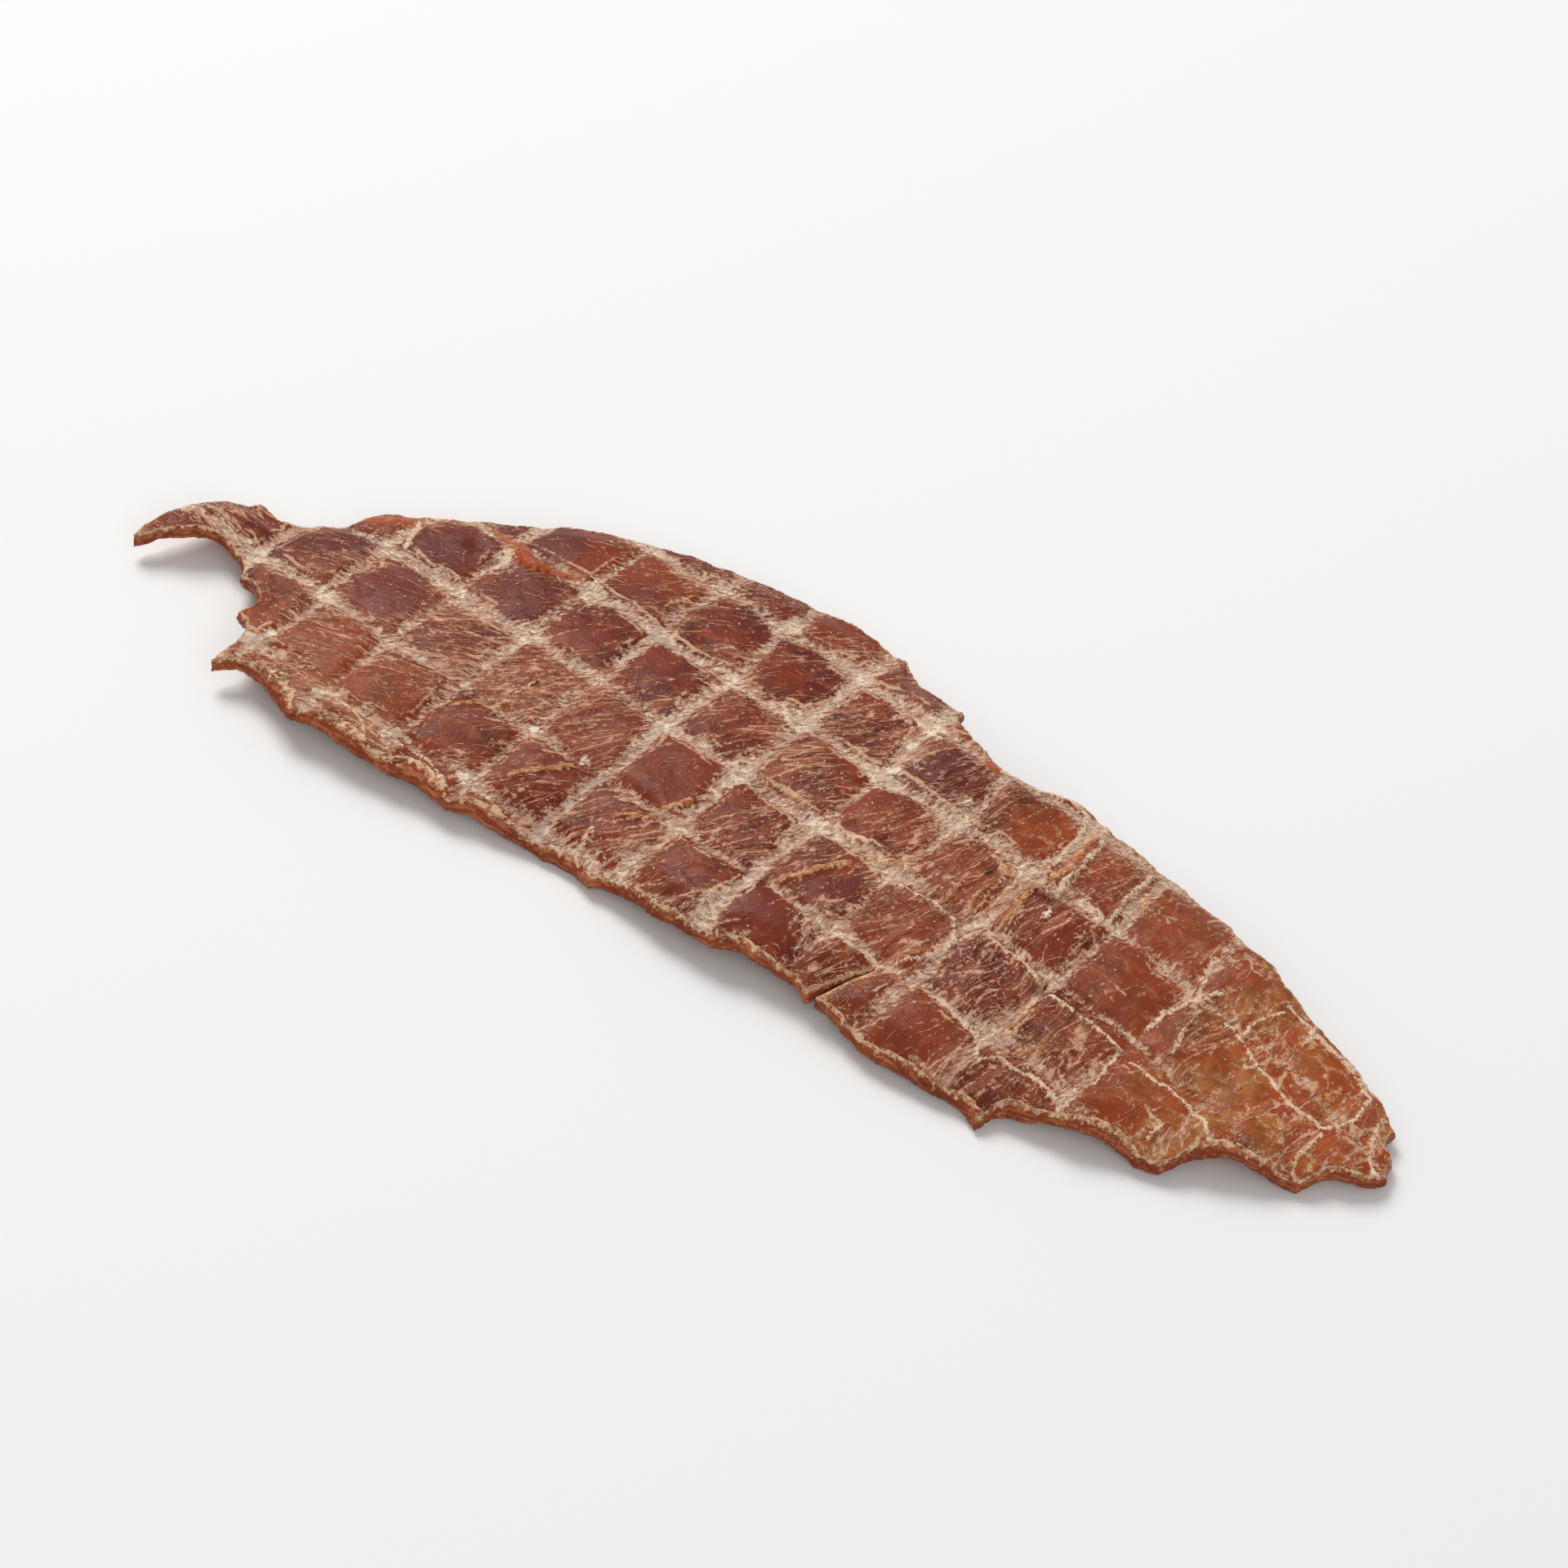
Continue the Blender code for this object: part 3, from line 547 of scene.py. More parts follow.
def line_fields(x, y):
    """Nearness to the imprint's lines, their crossings and their lips, each 0 to 1."""
    off_u, off_v = wandering_distances(x, y)
    width = LINE_HALF_WIDTH + 0.26 * smooth_noise(x, y, 5.0, 81) - LINE_THINNING * blend(x, 30.0, 58.0)
    strengths, closes, lips = [], [], []
    for off, other, seed in ((off_u, off_v, 83), (off_v, off_u, 88)):
        strong = line_strength(x, y, seed)
        strengths.append(strong)
        closes.append((bell(off, width) * strong) ** LINE_BLEND)
        lips.append(bell(off - 1.45 * width, LIP_HALF_WIDTH) * strong * (other > 0.9))
    close = sum(closes) ** (1.0 / LINE_BLEND) + weighted_spots(x, y, PALE_PATCHES).sum(axis=0)
    node = np.exp(-(off_u ** 2 + off_v ** 2) / CROSSING_RADIUS ** 2)
    node = node * np.clip(sum(strengths) - 0.6, 0.0, 1.0)
    gate = blend(smooth_noise(x, y, 2.6, 89), -0.45, 0.35)
    return np.clip(close, 0.0, 1.0), node, np.maximum(*lips) * gate


def line_mask(x, y):
    """How much the pale imprint covers a point, 0 to 1, before the fine breaks."""
    close, _, _ = line_fields(x, y)
    return blend(close, *LINE_COVERS)


def wrinkle_mask(x, y):
    """Thin pale wrinkles that cross the translucent end, 0 to 1."""
    across, along, _ = fibre_field(x, y)
    level_a = layered_noise(x, y, 4.2, 91, 3)
    level_b = smooth_noise(across / 2.6, along / 6.5, 1.0, 92) + 0.3 * smooth_noise(x, y, 1.5, 94)
    slope_a = 0.045 + 0.10 * np.abs(smooth_noise(x, y, 2.0, 95))
    creases = np.maximum(0.75 * bell(level_a, slope_a), bell(level_b, 0.075))
    gate = 0.10 + 0.90 * blend(x, 24.0, 50.0)
    patch = blend(layered_noise(x, y, 3.2, 93, 2), -0.10, 0.30)
    return np.clip(creases * gate * patch, 0.0, 1.0)


def top_height(x, y, to_rim):
    """Height of the upper face above the ground."""
    base = np.maximum(0.0, underside_warp(x, y))
    inner = blend(to_rim, 0.0, RIM_TAPER)
    body = THICKNESS_RIM + (THICKNESS_CELL - THICKNESS_RIM) * inner
    relief = imprint(x, y) * (0.35 + 0.65 * inner)
    grain = SURFACE_NOISE * smooth_noise(x, y, 3.2, 7) * inner
    reliefs, _ = all_ridges(x, y)
    strands = np.maximum.reduce(reliefs)
    across, along, _ = fibre_field(x, y)
    close, _, lip = line_fields(x, y)
    line = blend(close, *LINE_COVERS)
    keep = blend(to_rim, 0.1, 0.8)
    ridges = smooth_noise(across / 0.62, along / 4.2, 1.0, 102)
    ridges += 0.6 * smooth_noise(across / 0.36, along / 2.6, 1.0, 103)
    ridges = ridges * fibre_patches(x, y) * (1.0 - 0.8 * line)
    fuzz = layered_noise(x, y, 0.8, 104, 2) * line
    fine = FIBRE_RIDGE * ridges + LINE_FUZZ * fuzz + CELL_LIP * lip + WRINKLE_HEIGHT * wrinkle_mask(x, y)
    fine = fine - weighted_spots(x, y, PITS).sum(axis=0)
    return base + body + relief + grain + strands * (0.3 + 0.7 * keep) + fine * keep


def bottom_height(x, y):
    """Height of the underside, with the long grain of the meat."""
    lift = underside_warp(x, y)
    across, along, _ = fibre_field(x, y)
    grain = UNDERSIDE_GRAIN * smooth_noise(across / 0.9, along / 9.0, 1.0, 111)
    return np.maximum(0.0, lift + grain * blend(lift, 0.0, 0.4))


# Tones of the meat, from place to place
def cell_tone(x, y):
    """A tone of its own for each cell of the imprint."""
    cu, cv = np.floor(rack_coordinates(x, y))
    return 0.5 + 0.5 * np.sin(cu * 3.7 + cv * 5.3 + 1.3 * np.sin(cu * 1.9 - cv * 2.7))


def chalky_zone(x, y):
    """Where the imprint is whiter, 0 to 1."""
    return (1.0 - blend(x, 20.0, 45.0)) * (0.30 + 0.70 * blend(y, -15.0, -3.0))


def amber_zone(x, y):
    """Where the meat is thin and lets amber light through, 0 to 1."""
    thin = weighted_spots(x, y, AMBER_SPOTS).sum(axis=0)
    x, y = pressed(x, y)
    end = blend(x + 3.0 * smooth_noise(x, y, 8.0, 161), 34.0, 62.0)
    left = 0.45 * blend(-x, 20.0, 50.0) * blend(-y, 2.0, 18.0)
    return np.clip(end + thin + left, 0.0, 1.0)


# The meshes
def ring_crossings(ring):
    """Pairs of segments of a closed ring that cross."""
    step = np.roll(ring, -1, axis=0) - ring
    count = len(ring)
    found = []
    for i in range(count):
        j = np.arange(i + 2, count if i else count - 1)
        gap = ring[j] - ring[i]
        turn = step[i, 0] * step[j, 1] - step[i, 1] * step[j, 0]
        turn = np.where(np.abs(turn) < 1e-15, 1e-15, turn)
        t = (gap[:, 0] * step[j, 1] - gap[:, 1] * step[j, 0]) / turn
        u = (gap[:, 0] * step[i, 1] - gap[:, 1] * step[i, 0]) / turn
        found += [(i, int(k)) for k in j[(t > 0) & (t < 1) & (u > 0) & (u < 1)]]
    return found


def untangled(outline, normals, setback):
    """The setback, reduced where the inner ring would cross itself."""
    setback = setback.copy()
    count = len(outline)
    for _ in range(40):
        crossed = ring_crossings(outline - normals * setback[:, None])
        if not crossed:
            break
        share = np.ones(count)
        for i, k in crossed:
            middle = np.arange(i, k + 2) if k - i < count // 2 else np.arange(k, i + 2 + count)
            share[np.arange(middle[0] - 3, middle[-1] + 4) % count] = 0.6
        share = (np.roll(share, 1) + share + np.roll(share, -1)) / 3.0
        setback = setback * share
    return setback


def scattered_grid(step, outline, clearance, seed):
    """Staggered points about step apart, inside the outline and clear of it."""
    low = outline.min(axis=0)
    high = outline.max(axis=0)
    rows = np.arange(low[1], high[1], step * 0.866)
    x, y = np.meshgrid(np.arange(low[0], high[0], step), rows)
    x = x + 0.5 * step * (np.arange(len(rows)) % 2)[:, None]
    rng = np.random.default_rng(seed)
    x = (x + rng.uniform(-0.16, 0.16, x.shape) * step).ravel()
    y = (y + rng.uniform(-0.16, 0.16, y.shape) * step).ravel()
    keep = inside_outline(x, y, outline)
    x, y = x[keep], y[keep]
    keep = distance_to_outline(x, y, outline) > clearance
    return np.stack([x[keep], y[keep]], axis=1)


def triangulate(outline, inner):
    """Triangles over the outline and the inner points, facing up."""
    points = np.concatenate([outline, inner])
    border = len(outline)
    edges = [(i, (i + 1) % border) for i in range(border)]
    vectors = [Vector((float(p[0]), float(p[1]))) for p in points]
    out, _, faces, _, _, _ = delaunay_2d_cdt(vectors, edges, [], 1, 1e-7, True)
    if len(out) != len(points):
        raise ValueError("the outline crosses itself")
    xy = np.array([(v.x, v.y) for v in out])
    triangles = np.array([list(face) for face in faces])
    return triangles[inside_outline(*xy[triangles].mean(axis=1).T, outline)]


def cad_shift():
    """Offset from the outline's numbers to the part's own frame."""
    outline, _ = slice_outline(CAD_OUTLINE_STEP)
    return 0.5 * (outline.min(axis=0) + outline.max(axis=0))


SHIFT = cad_shift()


def to_frame(points):
    """Millimetres in the outline's numbers to metres in the part's frame, inside the CAD box."""
    moved = np.array(points, float)
    moved[:, :2] -= SHIFT
    return np.clip(moved * MM, np.array(CAD_BOX[0]) + 1e-6, np.array(CAD_BOX[1]) - 1e-6)


def link_object(name, data):
    """A new object in the scene."""
    item = bpy.data.objects.new(name, data)
    bpy.context.scene.collection.objects.link(item)
    return item


def mesh_object(name, vertices, faces, material):
    """A smooth mesh object from arrays."""
    mesh = bpy.data.meshes.new(name)
    mesh.from_pydata(vertices.tolist(), [], faces.tolist())
    mesh.update()
    mesh.polygons.foreach_set("use_smooth", [True] * len(mesh.polygons))
    mesh.materials.append(material)
    return link_object(name, mesh)


def fine_outline():
    """The outline with finer raggedness, its normals, its crack and the distance along it."""
    outline, in_crack = slice_outline(FINE_OUTLINE_STEP)
    normals = outward_normals(outline)
    travelled = along_edge(outline)
    nibble = np.abs(smooth_noise(travelled, 0.0, 0.9, 121))
    nibble = nibble + 0.5 * np.abs(smooth_noise(travelled, 5.0, 0.45, 122))
    depth = np.where(in_crack, 0.0, FINE_RAGGED_DEPTH)
    outline = outline - normals * untangled(outline, normals, depth * nibble)[:, None]
    normals = outward_normals(outline)
    for _ in range(2):
        normals = normals + 0.5 * (np.roll(normals, 1, axis=0) + np.roll(normals, -1, axis=0))
        normals = normals / np.linalg.norm(normals, axis=1)[:, None]
    return outline, normals, in_crack, travelled


def build_slice(material):
    """The visible slice: a closed mesh of an upper face, a layered side wall and an underside."""
    outline, normals, in_crack, travelled = fine_outline()
    count = len(outline)
    setback = untangled(outline, normals, rim_setback(outline, normals, in_crack))
    under = untangled(outline, normals, np.where(in_crack, 0.3 * RIM_ROUND, RIM_ROUND))
    sides = []
    for back, step, clearance, seed in (
        (setback, FINE_TOP_STEP, 0.20, 131),
        (under, FINE_BOTTOM_STEP, 0.45, 132),
    ):
        rim = outline - normals * back[:, None]
        points = np.concatenate([rim, scattered_grid(step, rim, clearance, seed)])
        sides.append((points, distance_to_outline(*points.T, outline), triangulate(rim, points[count:])))
    (top, top_rim, top_faces), (bottom, bottom_rim, bottom_faces) = sides
    top_z = top_height(*top.T, top_rim)
    bottom_z = bottom_height(*bottom.T)

    # Each layer: its points, 0 for the top to 1 for the underside, level, distance to the rim
    layers = [(np.column_stack([top, top_z]), 0.0, 1.0, top_rim)]
    for ring, fraction in enumerate(WALL_RINGS):
        layer = WALL_LAYER_DEPTH * smooth_noise(travelled, 3.0 * ring, 1.8, 140 + ring)
        layer = layer + WALL_GRIT_DEPTH * smooth_noise(travelled, 3.0 * ring, 0.6, 150 + ring)
        bulge = math.sin(math.pi * (0.12 + 0.76 * fraction)) ** 0.5
        top_share = np.clip(1.0 - fraction / 0.5, 0.0, 1.0) ** 1.2
        bottom_share = np.clip((fraction - 0.55) / 0.45, 0.0, 1.0) ** 1.5
        back = setback * top_share + under * bottom_share
        back = np.maximum(0.0, back + np.where(in_crack, 0.0, np.abs(layer) * bulge))
        xy = outline - normals * back[:, None]
        z = top_z[:count] + (bottom_z[:count] - top_z[:count]) * fraction
        layers.append((np.column_stack([xy, z]), 0.5, 1.0 - fraction, np.zeros(count)))
    layers.append((np.column_stack([bottom, bottom_z]), 1.0, 0.0, bottom_rim))
    sizes = [len(layer[0]) for layer in layers]
    vertices = np.concatenate([layer[0] for layer in layers])
    face_of = np.repeat([layer[1] for layer in layers], sizes)
    level_of = np.repeat([layer[2] for layer in layers], sizes)
    rim_of = np.concatenate([layer[3] for layer in layers])

    faces = [top_faces]
    starts = np.cumsum([0] + sizes[:-1])
    index = np.arange(count)
    after = (index + 1) % count
    for upper, lower in zip(starts, starts[1:]):
        faces.append(np.column_stack([upper + index, upper + after, lower + after]))
        faces.append(np.column_stack([upper + index, lower + after, lower + index]))
    faces.append(starts[-1] + bottom_faces[:, ::-1])
    item = mesh_object("dried_slice", to_frame(vertices), np.concatenate(faces), material)

    x, y = vertices[:, 0], vertices[:, 1]
    across, along, _ = fibre_field(x, y)
    close, node, lip = line_fields(x, y)
    plum = weighted_spots(x, y, PLUM_SPOTS, 2).max(axis=0)
    _, ridges = all_ridges(x, y)
    fields = {
        "grain": (across, along, cell_tone(x, y)),
        "marks": (close, wrinkle_mask(x, y), spots(x, y, FROST_SPOTS).max(axis=0)),
        "edges": (lip, node + 0.45 * chalky_zone(x, y), plum),
        "place": (face_of, rim_of, level_of),
        # The second value of zones is the pit mask, which drives painted shade in the pits
        "zones": (fibre_patches(x, y), spots(x, y, PITS).max(axis=0), amber_zone(x, y)),
        "ridges": ridges,
    }
    for name, values in fields.items():
        layer = item.data.attributes.new(name, "FLOAT_VECTOR", "POINT")
        layer.data.foreach_set("vector", np.column_stack(values).astype(np.float32).ravel())
    return item, outline


# The materials
def linear(red, green, blue):
    """An sRGB colour in 0..255 as linear RGBA."""
    values = []
    for part in (red, green, blue):
        part = part / 255.0
        values.append(part / 12.92 if part <= 0.04045 else ((part + 0.055) / 1.055) ** 2.4)
    return (values[0], values[1], values[2], 1.0)


class Value:
    """A shader socket that adds, multiplies and ramps like a number."""

    def __init__(self, tree, socket):
        self.tree = tree
        self.socket = socket

    def __add__(self, other):
        return self.tree.math("ADD", self, other)

    def __sub__(self, other):
        return self.tree.math("SUBTRACT", self, other)

    def __mul__(self, other):
        return self.tree.math("MULTIPLY", self, other)

    def ramp(self, low, high, to_low=0.0, to_high=1.0):
        """A smooth step, from to_low at low to to_high at high."""
        inputs = dict(enumerate((self, low, high, to_low, to_high)))
        return self.tree.add("MapRange", inputs, interpolation_type="SMOOTHSTEP", clamp=True)


class Tree:
    """Short calls that add shader nodes and link them."""

    def __init__(self, name):
        self.material = bpy.data.materials.new(name)
        self.material.use_nodes = True
        self.nodes = self.material.node_tree.nodes
        self.shader = self.nodes["Principled BSDF"]

    def put(self, socket, value):
        """Link a value to a socket, or set the socket's own number or colour."""
        if isinstance(value, Value):
            self.material.node_tree.links.new(value.socket, socket)
        else:
            socket.default_value = value

    def add(self, kind, inputs, output=0, **settings):
        """One output of a new shader node."""
        node = self.nodes.new("ShaderNode" + kind)
        for name, setting in settings.items():
            setattr(node, name, setting)
        for key, value in inputs.items():
            self.put(node.inputs[key], value)
        return Value(self, node.outputs[output])

    def parts(self, vector):
        """The three numbers of a vector."""
        node = self.nodes.new("ShaderNodeSeparateXYZ")
        self.put(node.inputs[0], vector)
        return [Value(self, socket) for socket in node.outputs]

    def joined(self, x, y, z):
        return self.add("CombineXYZ", {0: x, 1: y, 2: z})

    def attribute(self, name):
        """The three numbers of one of the mesh's fields."""
        settings = {"attribute_type": "GEOMETRY", "attribute_name": name}
        return self.parts(self.add("Attribute", {}, "Vector", **settings))

    def position(self):
        """The place on the mesh in millimetres."""
        place = self.add("TexCoord", {}, "Object")
        return self.add("VectorMath", {0: place, 1: (1000.0, 1000.0, 1000.0)}, operation="MULTIPLY")

    def math(self, operation, a, b=0.0, clamp=False):
        return self.add("Math", {0: a, 1: b}, operation=operation, use_clamp=clamp)

    def mix(self, share, a, b):
        return self.add("Mix", {"Factor": share, "A": a, "B": b}, "Result", data_type="RGBA")

    def noise(self, vector, scale, detail, roughness, distortion=0.0):
        names = ("Vector", "Scale", "Detail", "Roughness", "Distortion")
        return self.add("TexNoise", dict(zip(names, (vector, scale, detail, roughness, distortion))), "Fac")

    def cells(self, x, y, output, **settings):
        """Voronoi cells of a plane, each about 1 wide."""
        inputs = {"Vector": self.joined(x, y, 0.0), "Scale": 1.0}
        return self.add("TexVoronoi", inputs, output, voronoi_dimensions="2D", **settings)

    def cell_value(self, x, y):
        """A random number for each cell."""
        return self.parts(self.cells(x, y, "Color"))[0]

    def threads(self, x, y, thin):
        """Thin lines between the cells, 1 in their middle."""
        distance = self.cells(x, y, "Distance", feature="DISTANCE_TO_EDGE")
        return distance.ramp(thin * 0.25, thin, 1.0, 0.0)

    def bump(self, height, distance, strength):
        inputs = {"Strength": strength, "Distance": distance, "Height": height}
        self.put(self.shader.inputs["Normal"], self.add("Bump", inputs))

    def finished(self, colour, roughness, specular):
        """The material, with its shader's colour, roughness and specular level."""
        values = {"Base Color": colour, "Roughness": roughness, "Specular IOR Level": specular}
        for name, value in values.items():
            self.put(self.shader.inputs[name], value)
        return self.material


MAROON = linear(120, 46, 24)
MAROON_DARK = linear(88, 28, 13)
PLUM = linear(88, 37, 35)
RUST = linear(150, 68, 36)
AMBER = linear(164, 76, 30)
OLIVE = linear(166, 98, 42)
FIBRE_TAN = linear(190, 124, 88)
FIBRE_PINK = linear(222, 176, 148)
LINE_DARK = linear(130, 72, 54)
LINE_MID = linear(182, 139, 117)
LINE_PALE = linear(219, 192, 166)
LINE_GREY = linear(176, 148, 138)
SPECK = linear(242, 226, 204)
RIM_CREAM = linear(230, 192, 152)
GOLD = linear(194, 120, 58)
FOLD = linear(166, 70, 28)
WALL_BROWN = linear(140, 62, 32)
WALL_PALE = linear(184, 110, 68)
UNDER_BROWN = linear(128, 60, 32)
UNDER_PALE = linear(172, 102, 56)


def wall_colour(t, place, level, fine, wide):
    """The side wall: thin layers of meat, pale along the top. Also the layers themselves."""
    x, y, _ = t.parts(place)
    layers = t.noise(t.joined(x * 0.5, y * 0.5, level * 6.5), 1.0, 3.0, 0.65, 0.4)
    wall = t.mix(layers.ramp(0.44, 0.60), WALL_BROWN, WALL_PALE)
    wall = t.mix((fine + (wide - 0.5) * 0.8).ramp(0.46, 0.62, 0.0, 0.80), wall, MAROON)
    return t.mix((level + (fine - 0.5) * 1.3).ramp(0.72, 1.02), wall, RIM_CREAM), layers


def underside_colour(t, across, along, wide, edge):
    """The underside: browner and smoother, with long grain."""
    grains = t.noise(t.joined(across * 1.1, along * 0.07, wide), 1.0, 4.0, 0.6, 0.3)
    under = t.mix(grains.ramp(0.36, 0.66), UNDER_BROWN, UNDER_PALE)
    under = t.mix(wide.ramp(0.5, 0.75, 0.0, 0.6), under, MAROON)
    return t.mix(edge.ramp(0.35, 1.6, 0.7, 0.0), under, RIM_CREAM)


def meat_material():
    """Dried meat: glossy red-brown cells, pale matte imprint, tan fibres."""
    t = Tree("dried_duck_meat")
    mm = t.position()
    across, along, tone = t.attribute("grain")
    close, wrinkle, frost = t.attribute("marks")
    lip, node, plum = t.attribute("edges")
    face, rim, level = t.attribute("place")
    # The pit mask darkens the colour inside the pits: painted shade
    patch, pit_shade, amber = t.attribute("zones")
    cream, gold, fold = t.attribute("ridges")

    # Noises of four sizes, and how far each is off its middle
    wide = t.noise(mm, 0.16, 3.0, 0.55)
    middle = t.noise(mm, 0.55, 3.0, 0.6)
    fine = t.noise(mm, 1.9, 3.0, 0.6)
    grit = t.noise(mm, 5.2, 2.0, 0.6)
    off_middle = middle - 0.5
    off = fine - 0.5
    off_grit = grit - 0.5

    # Fibre bundles and threads on the cells, crumbs on the lines
    warp = across + off_middle * 0.9
    warp_fine = warp + off * 0.14
    bundle = t.cell_value(warp * 1.5, along * 0.26)
    crumb = t.cell_value(warp_fine * 3.4, along * 2.2)
    long_thread = t.threads(warp_fine * 1.05, along * 0.17, 0.13)
    short_thread = t.threads(warp_fine * 1.9, along * 0.42, 0.22)
    hairs = t.noise(t.joined(across * 4.0, along * 0.8, 0.0), 1.0, 2.0, 0.6, 0.3)
    off_hairs = hairs - 0.5

    # Colour of the bare cells
    colour = t.mix(wide.ramp(0.35, 0.66), MAROON, MAROON_DARK)
    colour = t.mix(middle.ramp(0.45, 0.68) * 0.60, colour, RUST)
    colour = t.mix(tone.ramp(0.5, 1.0) * 0.35, colour, RUST)
    colour = t.mix(plum * 0.75, colour, PLUM)
    amber_share = t.math("MULTIPLY", amber, middle.ramp(0.30, 0.66, 0.45, 1.0), clamp=True)
    colour = t.mix(amber_share, colour, t.mix(wide.ramp(0.46, 0.60), AMBER, OLIVE))

    # Tan bundles and pale threads, more of them towards the lines
    reach = patch * 0.26 + close * 0.45 - plum * 0.10 - amber * 0.12 - (tone - 0.5) * 0.08
    bundle_share = (bundle + reach + off_hairs * 0.5).ramp(0.90, 1.24)
    colour = t.mix(bundle_share * 0.36, colour, FIBRE_TAN)
    thread_gate = reach + off * 1.3
    long_share = long_thread * (thread_gate + (bundle - 0.5) * 0.4).ramp(0.16, 0.38)
    short_share = short_thread * (thread_gate - off_grit).ramp(0.30, 0.52)
    thread_share = t.math("MAXIMUM", long_share, short_share)
    colour = t.mix(thread_share * 0.74, colour, FIBRE_PINK)

    # The imprint: crumbs from grey-brown to cream, whiter where lines cross
    shade = crumb * 0.50 + hairs * 0.40 + (node * 0.17 + off_grit * 0.7) + (close - 0.5) * 0.22
    line_colour = t.mix(shade.ramp(0.24, 0.46), LINE_DARK, LINE_MID)
    line_colour = t.mix(shade.ramp(0.46, 0.74), line_colour, LINE_PALE)
    line_colour = t.mix(shade.ramp(0.74, 0.96), line_colour, SPECK)
    greyness = t.noise(mm, 0.34, 3.0, 0.6).ramp(0.50, 0.66, 0.0, 0.55)
    line_colour = t.mix(greyness, line_colour, LINE_GREY)
    torn = close + (crumb - 0.5) * 0.50 + off_hairs * 0.9 + off * 0.7 + off_middle * 0.6
    line_share = (torn + node * 0.13).ramp(0.42, 0.80)
    colour = t.mix(line_share * 0.88, colour, line_colour)

    # A net of thin pale creases on the thin end
    x, y, _ = t.parts(mm)
    net = t.threads(x * 0.36 + off * 0.9, y * 0.36 + off_grit * 0.5, 0.080) * middle.ramp(0.43, 0.60)
    colour = t.mix(net * amber * 0.62, colour, RIM_CREAM)

    # Lips beside the lines, thin wrinkles, ridges, frost: each mark breaks up along its border
    ragged = off * 2.2 + off_grit * 0.8
    for mark, breaks, low, high, share, paint in (
        (lip, off * 1.4, 0.38, 0.80, 0.60, RIM_CREAM),
        (wrinkle, off * 1.2, 0.40, 0.80, 0.60, RIM_CREAM),
        (gold, ragged, 0.35, 0.95, 0.72, t.mix(hairs.ramp(0.46, 0.60), GOLD, RIM_CREAM)),
        (fold, ragged, 0.25, 0.60, 0.85, t.mix(hairs.ramp(0.50, 0.66), FOLD, GOLD)),
        (cream, ragged, 0.40, 0.90, 0.84, t.mix(grit.ramp(0.45, 0.65), RIM_CREAM, SPECK)),
        (frost, off * 1.6, 0.42, 0.80, 0.85, SPECK),
    ):
        colour = t.mix((mark + breaks).ramp(low, high) * share, colour, paint)

    # The rim and painted shade in the pits, then the side wall and the underside in place of all this
    edge = rim + off * 1.4
    crust = t.mix(grit.ramp(0.36, 0.56), FIBRE_TAN, RIM_CREAM)
    colour = t.mix(edge.ramp(0.10, 0.55, 0.90, 0.0), colour, crust)
    # Painted shade: the pits are darkened towards MAROON_DARK on top of their sunken relief
    colour = t.mix(pit_shade * 0.80, colour, MAROON_DARK)
    wall, layers = wall_colour(t, mm, level, fine, wide)
    wall_share = t.math("ABSOLUTE", face - 0.5).ramp(0.30, 0.48, 1.0, 0.0)
    colour = t.mix(wall_share, colour, wall)
    colour = t.mix(face.ramp(0.62, 0.95), colour, underside_colour(t, across, along, wide, edge))

    # Matte where it is pale, half glossy elsewhere, with relief too fine for the mesh
    pale = t.math("MAXIMUM", line_share, t.math("MAXIMUM", bundle_share, thread_share) * 0.6)
    rough = t.math("ADD", pale.ramp(0.0, 1.0, 0.42, 0.82), off * 0.35, clamp=True)
    height = fine * 0.50 + hairs * 0.15 + t.math("MAXIMUM", thread_share, net) * 0.35
    height = height + crumb * close * 0.45 + layers * wall_share * 0.8
    t.bump(height, 0.00020, 0.8)
    return t.finished(colour, rough, 0.16)


def fuzz_material(name, dark, pale, roughness):
    """Dry fibre, lighter and darker from place to place."""
    t = Tree(name)
    mm = t.position()
    t.bump(t.noise(mm, 9.0, 2.0, 0.6), 0.00005, 0.6)
    return t.finished(t.mix(t.noise(mm, 1.4, 2.0, 0.6).ramp(0.36, 0.66), dark, pale), roughness, 0.3)


# Loose fibres and flakes
def fibre_chance(x, y, rim):
    """Chance of a fibre on the cells."""
    return 0.75 * fibre_patches(x, y) * (1.0 - 0.7 * line_mask(x, y)) * (1.0 - 0.5 * amber_zone(x, y))


def fuzz_chance(x, y, rim):
    """Chance of fuzz on the imprint and along the rim."""
    return np.clip(0.9 * line_mask(x, y) ** 1.5 + 0.7 * blend(rim, 1.8, 0.6) + 0.03, 0.0, 1.0)


def flake_chance(x, y, rim):
    """Chance of a flake: rare on cells, common on the imprint."""
    return np.clip(0.10 + 0.55 * line_mask(x, y), 0.0, 1.0)


def along_fibres(x, y, rng):
    """Directions that follow the meat, a little scattered."""
    _, _, turn = fibre_field(x, y)
    return turn + rng.normal(0.0, 0.22, len(x))


def any_way(x, y, rng):
    """Directions at random."""
    return rng.uniform(0.0, math.pi, len(x))


def scattered_places(rng, outline, count, tries, chance, clearance):
    """Up to count places on the face, and their distance to the rim."""
    low = outline.min(axis=0)
    high = outline.max(axis=0)
    x = rng.uniform(low[0], high[0], count * tries)
    y = rng.uniform(low[1], high[1], count * tries)
    keep = inside_outline(x, y, outline)
    x, y = x[keep], y[keep]
    rim = distance_to_outline(x, y, outline)
    keep = (rng.uniform(0, 1, len(x)) < chance(x, y, rim)) & (rim > clearance)
    return x[keep][:count], y[keep][:count], rim[keep][:count]


def repeated_forms(name, rings, template, material):
    """A piece of many small forms, with a point of each form in each ring."""
    vertices = np.stack(rings, axis=1)
    starts = np.arange(len(vertices)) * len(rings)
    faces = starts[:, None, None] + np.array(template)
    return mesh_object(name, to_frame(vertices.reshape(-1, 3)), faces.reshape(-1, 3), material)


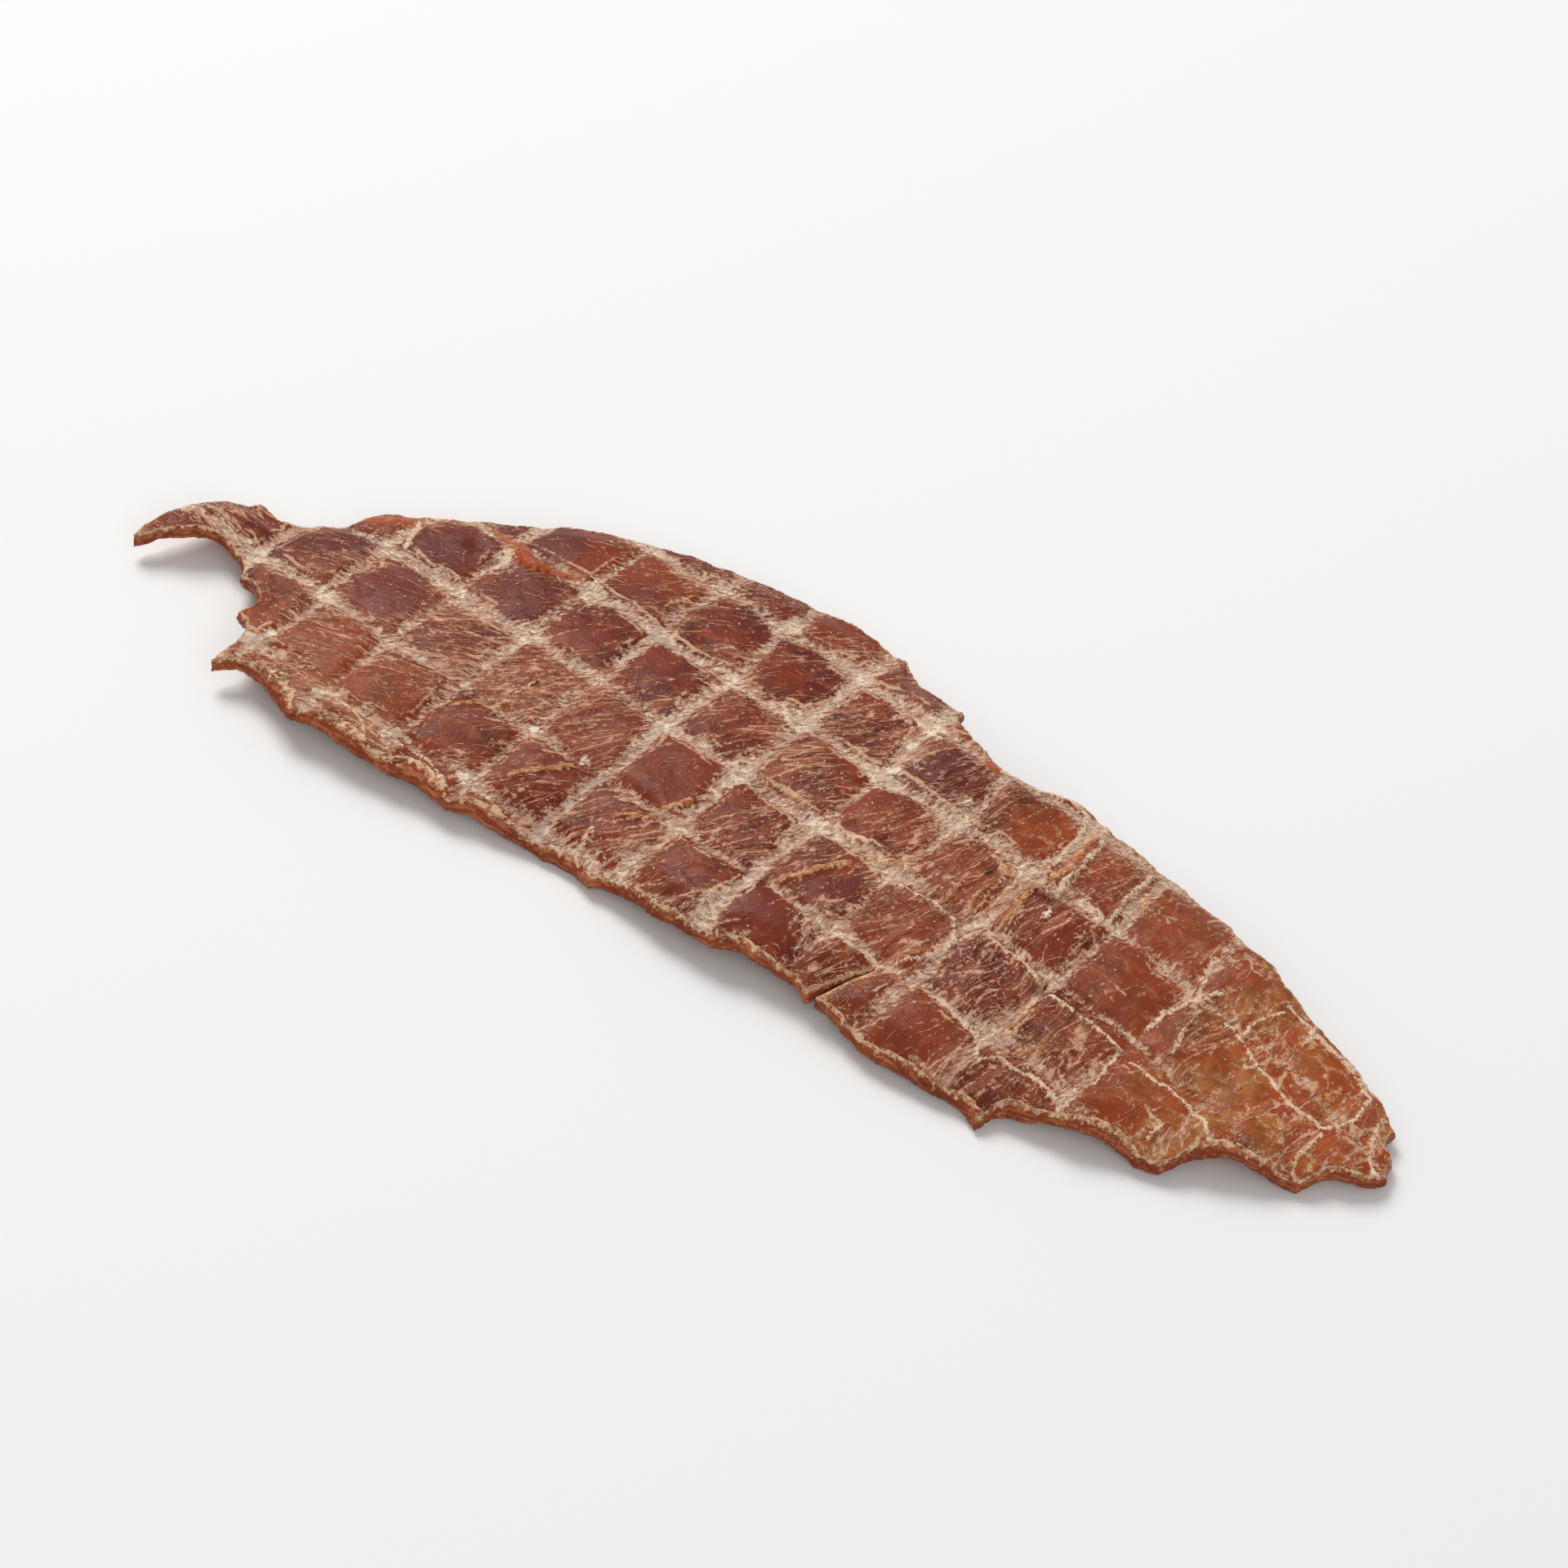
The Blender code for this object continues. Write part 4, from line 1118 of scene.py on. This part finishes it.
def strokes_object(name, outline, chance, direction, material, count, seed, lengths, widths):
    """A piece of many little raised fibres on the upper face."""
    rng = np.random.default_rng(seed)
    x, y, _ = scattered_places(rng, outline, count, 12, chance, 0.35)
    number = len(x)
    angle = direction(x, y, rng)
    length = rng.uniform(*lengths, number)
    width = rng.uniform(*widths, number)
    bend = rng.uniform(-0.5, 0.5, number)
    rings = []
    whole = np.ones(number, bool)
    for step in np.linspace(-0.5, 0.5, STROKE_SEGMENTS + 1):
        local = angle + bend * step
        px = x + np.cos(local) * length * step
        py = y + np.sin(local) * length * step
        taper = (1.0 - (2.0 * abs(step)) ** 2) * 0.85 + 0.15
        side_x = -np.sin(local) * width * 0.5 * taper
        side_y = np.cos(local) * width * 0.5 * taper
        rim = distance_to_outline(px, py, outline)
        whole &= inside_outline(px, py, outline) & (rim > STROKE_CLEARANCE)
        z = top_height(px, py, rim)
        crest = width * 0.55 * taper + STROKE_LIFT * taper
        for side, rise in ((-1, -STROKE_ROOT), (0, crest), (1, -STROKE_ROOT)):
            rings.append(np.stack([px + side * side_x, py + side * side_y, z + rise], axis=1))
    template = []
    for a in range(0, 3 * STROKE_SEGMENTS, 3):
        for side in range(3):
            b = (side + 1) % 3
            template.append((a + side, a + 3 + side, a + 3 + b))
            template.append((a + side, a + 3 + b, a + b))
    last = len(rings) - 1
    template += [(0, 1, 2), (last, last - 1, last - 2)]
    return repeated_forms(name, [ring[whole] for ring in rings], template, material)


def flakes_object(name, outline, material, count, seed):
    """Tiny pale crumbs, each a squashed eight-sided grain."""
    rng = np.random.default_rng(seed)
    x, y, rim = scattered_places(rng, outline, count, 8, flake_chance, 0.5)
    number = len(x)
    z = top_height(x, y, rim)
    size = FLAKE_SIZE + FLAKE_SPREAD * rng.uniform(0, 1, number) ** 2.5
    turn = rng.uniform(0, math.pi, number)
    stretch = rng.uniform(0.8, 2.0, number)
    rings = []
    for cx, cy, cz in ((1, 0, 0), (0, 1, 0), (-1, 0, 0), (0, -1, 0), (0, 0, 1), (0, 0, -1)):
        jitter = rng.uniform(0.75, 1.25, number)
        ex = cx * size * stretch * jitter
        ey = cy * size * jitter
        px = x + ex * np.cos(turn) - ey * np.sin(turn)
        py = y + ex * np.sin(turn) + ey * np.cos(turn)
        rings.append(np.stack([px, py, z + cz * size * 0.6 * jitter], axis=1))
    template = ((0, 1, 4), (1, 2, 4), (2, 3, 4), (3, 0, 4), (1, 0, 5), (2, 1, 5), (3, 2, 5), (0, 3, 5))
    return repeated_forms(name, rings, template, material)


# Camera, light, floor
def place_camera():
    """The camera at the photograph's viewing angle."""
    place = Vector(CAMERA_PLACE)
    forward = (Vector(CAMERA_AIM) - place).normalized()
    right = forward.cross(Vector(CAMERA_UP)).normalized()
    up = right.cross(forward).normalized()
    data = bpy.data.cameras.new("camera")
    data.lens = CAMERA_LENS
    data.sensor_width = 36.0
    data.clip_start = 0.01
    item = link_object("camera", data)
    turn = Matrix((right, up, -forward)).transposed().to_4x4()
    item.matrix_world = Matrix.Translation(place) @ turn
    bpy.context.scene.camera = item


def area_light(name, place, size, power, colour):
    """A square soft light that shines on the origin."""
    data = bpy.data.lights.new(name, "AREA")
    data.shape = "SQUARE"
    data.size = size
    data.energy = power
    data.color = colour
    item = link_object(name, data)
    item.location = place
    item.rotation_euler = (-Vector(place)).to_track_quat("-Z", "Y").to_euler()


def place_lights():
    """A large soft light from behind and above, a weaker one from the front."""
    area_light("key", *KEY_LIGHT)
    area_light("fill", *FILL_LIGHT)
    world = bpy.data.worlds.new("studio")
    world.use_nodes = True
    back = world.node_tree.nodes["Background"]
    back.inputs["Color"].default_value = (1.0, 1.0, 1.0, 1.0)
    back.inputs["Strength"].default_value = SKY_STRENGTH
    bpy.context.scene.world = world
    bpy.context.scene.view_settings.view_transform = "Standard"


def place_floor():
    """A plain pale floor."""
    half = FLOOR_HALF
    mesh = bpy.data.meshes.new("floor")
    corners = [(-half, -half, 0), (half, -half, 0), (half, half, 0), (-half, half, 0)]
    mesh.from_pydata(corners, [], [(0, 1, 2, 3)])
    mesh.materials.append(Tree("floor").finished(FLOOR_GREY, 0.9, 0.1))
    item = link_object("floor", mesh)


def main():
    """Everything in the scene."""
    place_camera()
    place_lights()
    place_floor()
    body, outline = build_slice(meat_material())
    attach(body, "root")
    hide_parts(NODE)

    tan = fuzz_material("tan_fibre", linear(156, 90, 62), linear(214, 166, 132), 0.6)
    pale = fuzz_material("pale_fuzz", linear(184, 144, 116), linear(222, 196, 168), 0.8)
    crumb = fuzz_material("pale_crumb", linear(210, 184, 160), linear(240, 226, 210), 0.7)
    pieces = [
        strokes_object("cell_fibres", outline, fibre_chance, along_fibres, tan, *CELL_FIBRES),
        strokes_object("imprint_fuzz", outline, fuzz_chance, any_way, pale, *IMPRINT_FUZZ),
        flakes_object("pale_flakes", outline, crumb, *PALE_FLAKES),
    ]
    for piece in pieces:
        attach(piece, "root")


main()
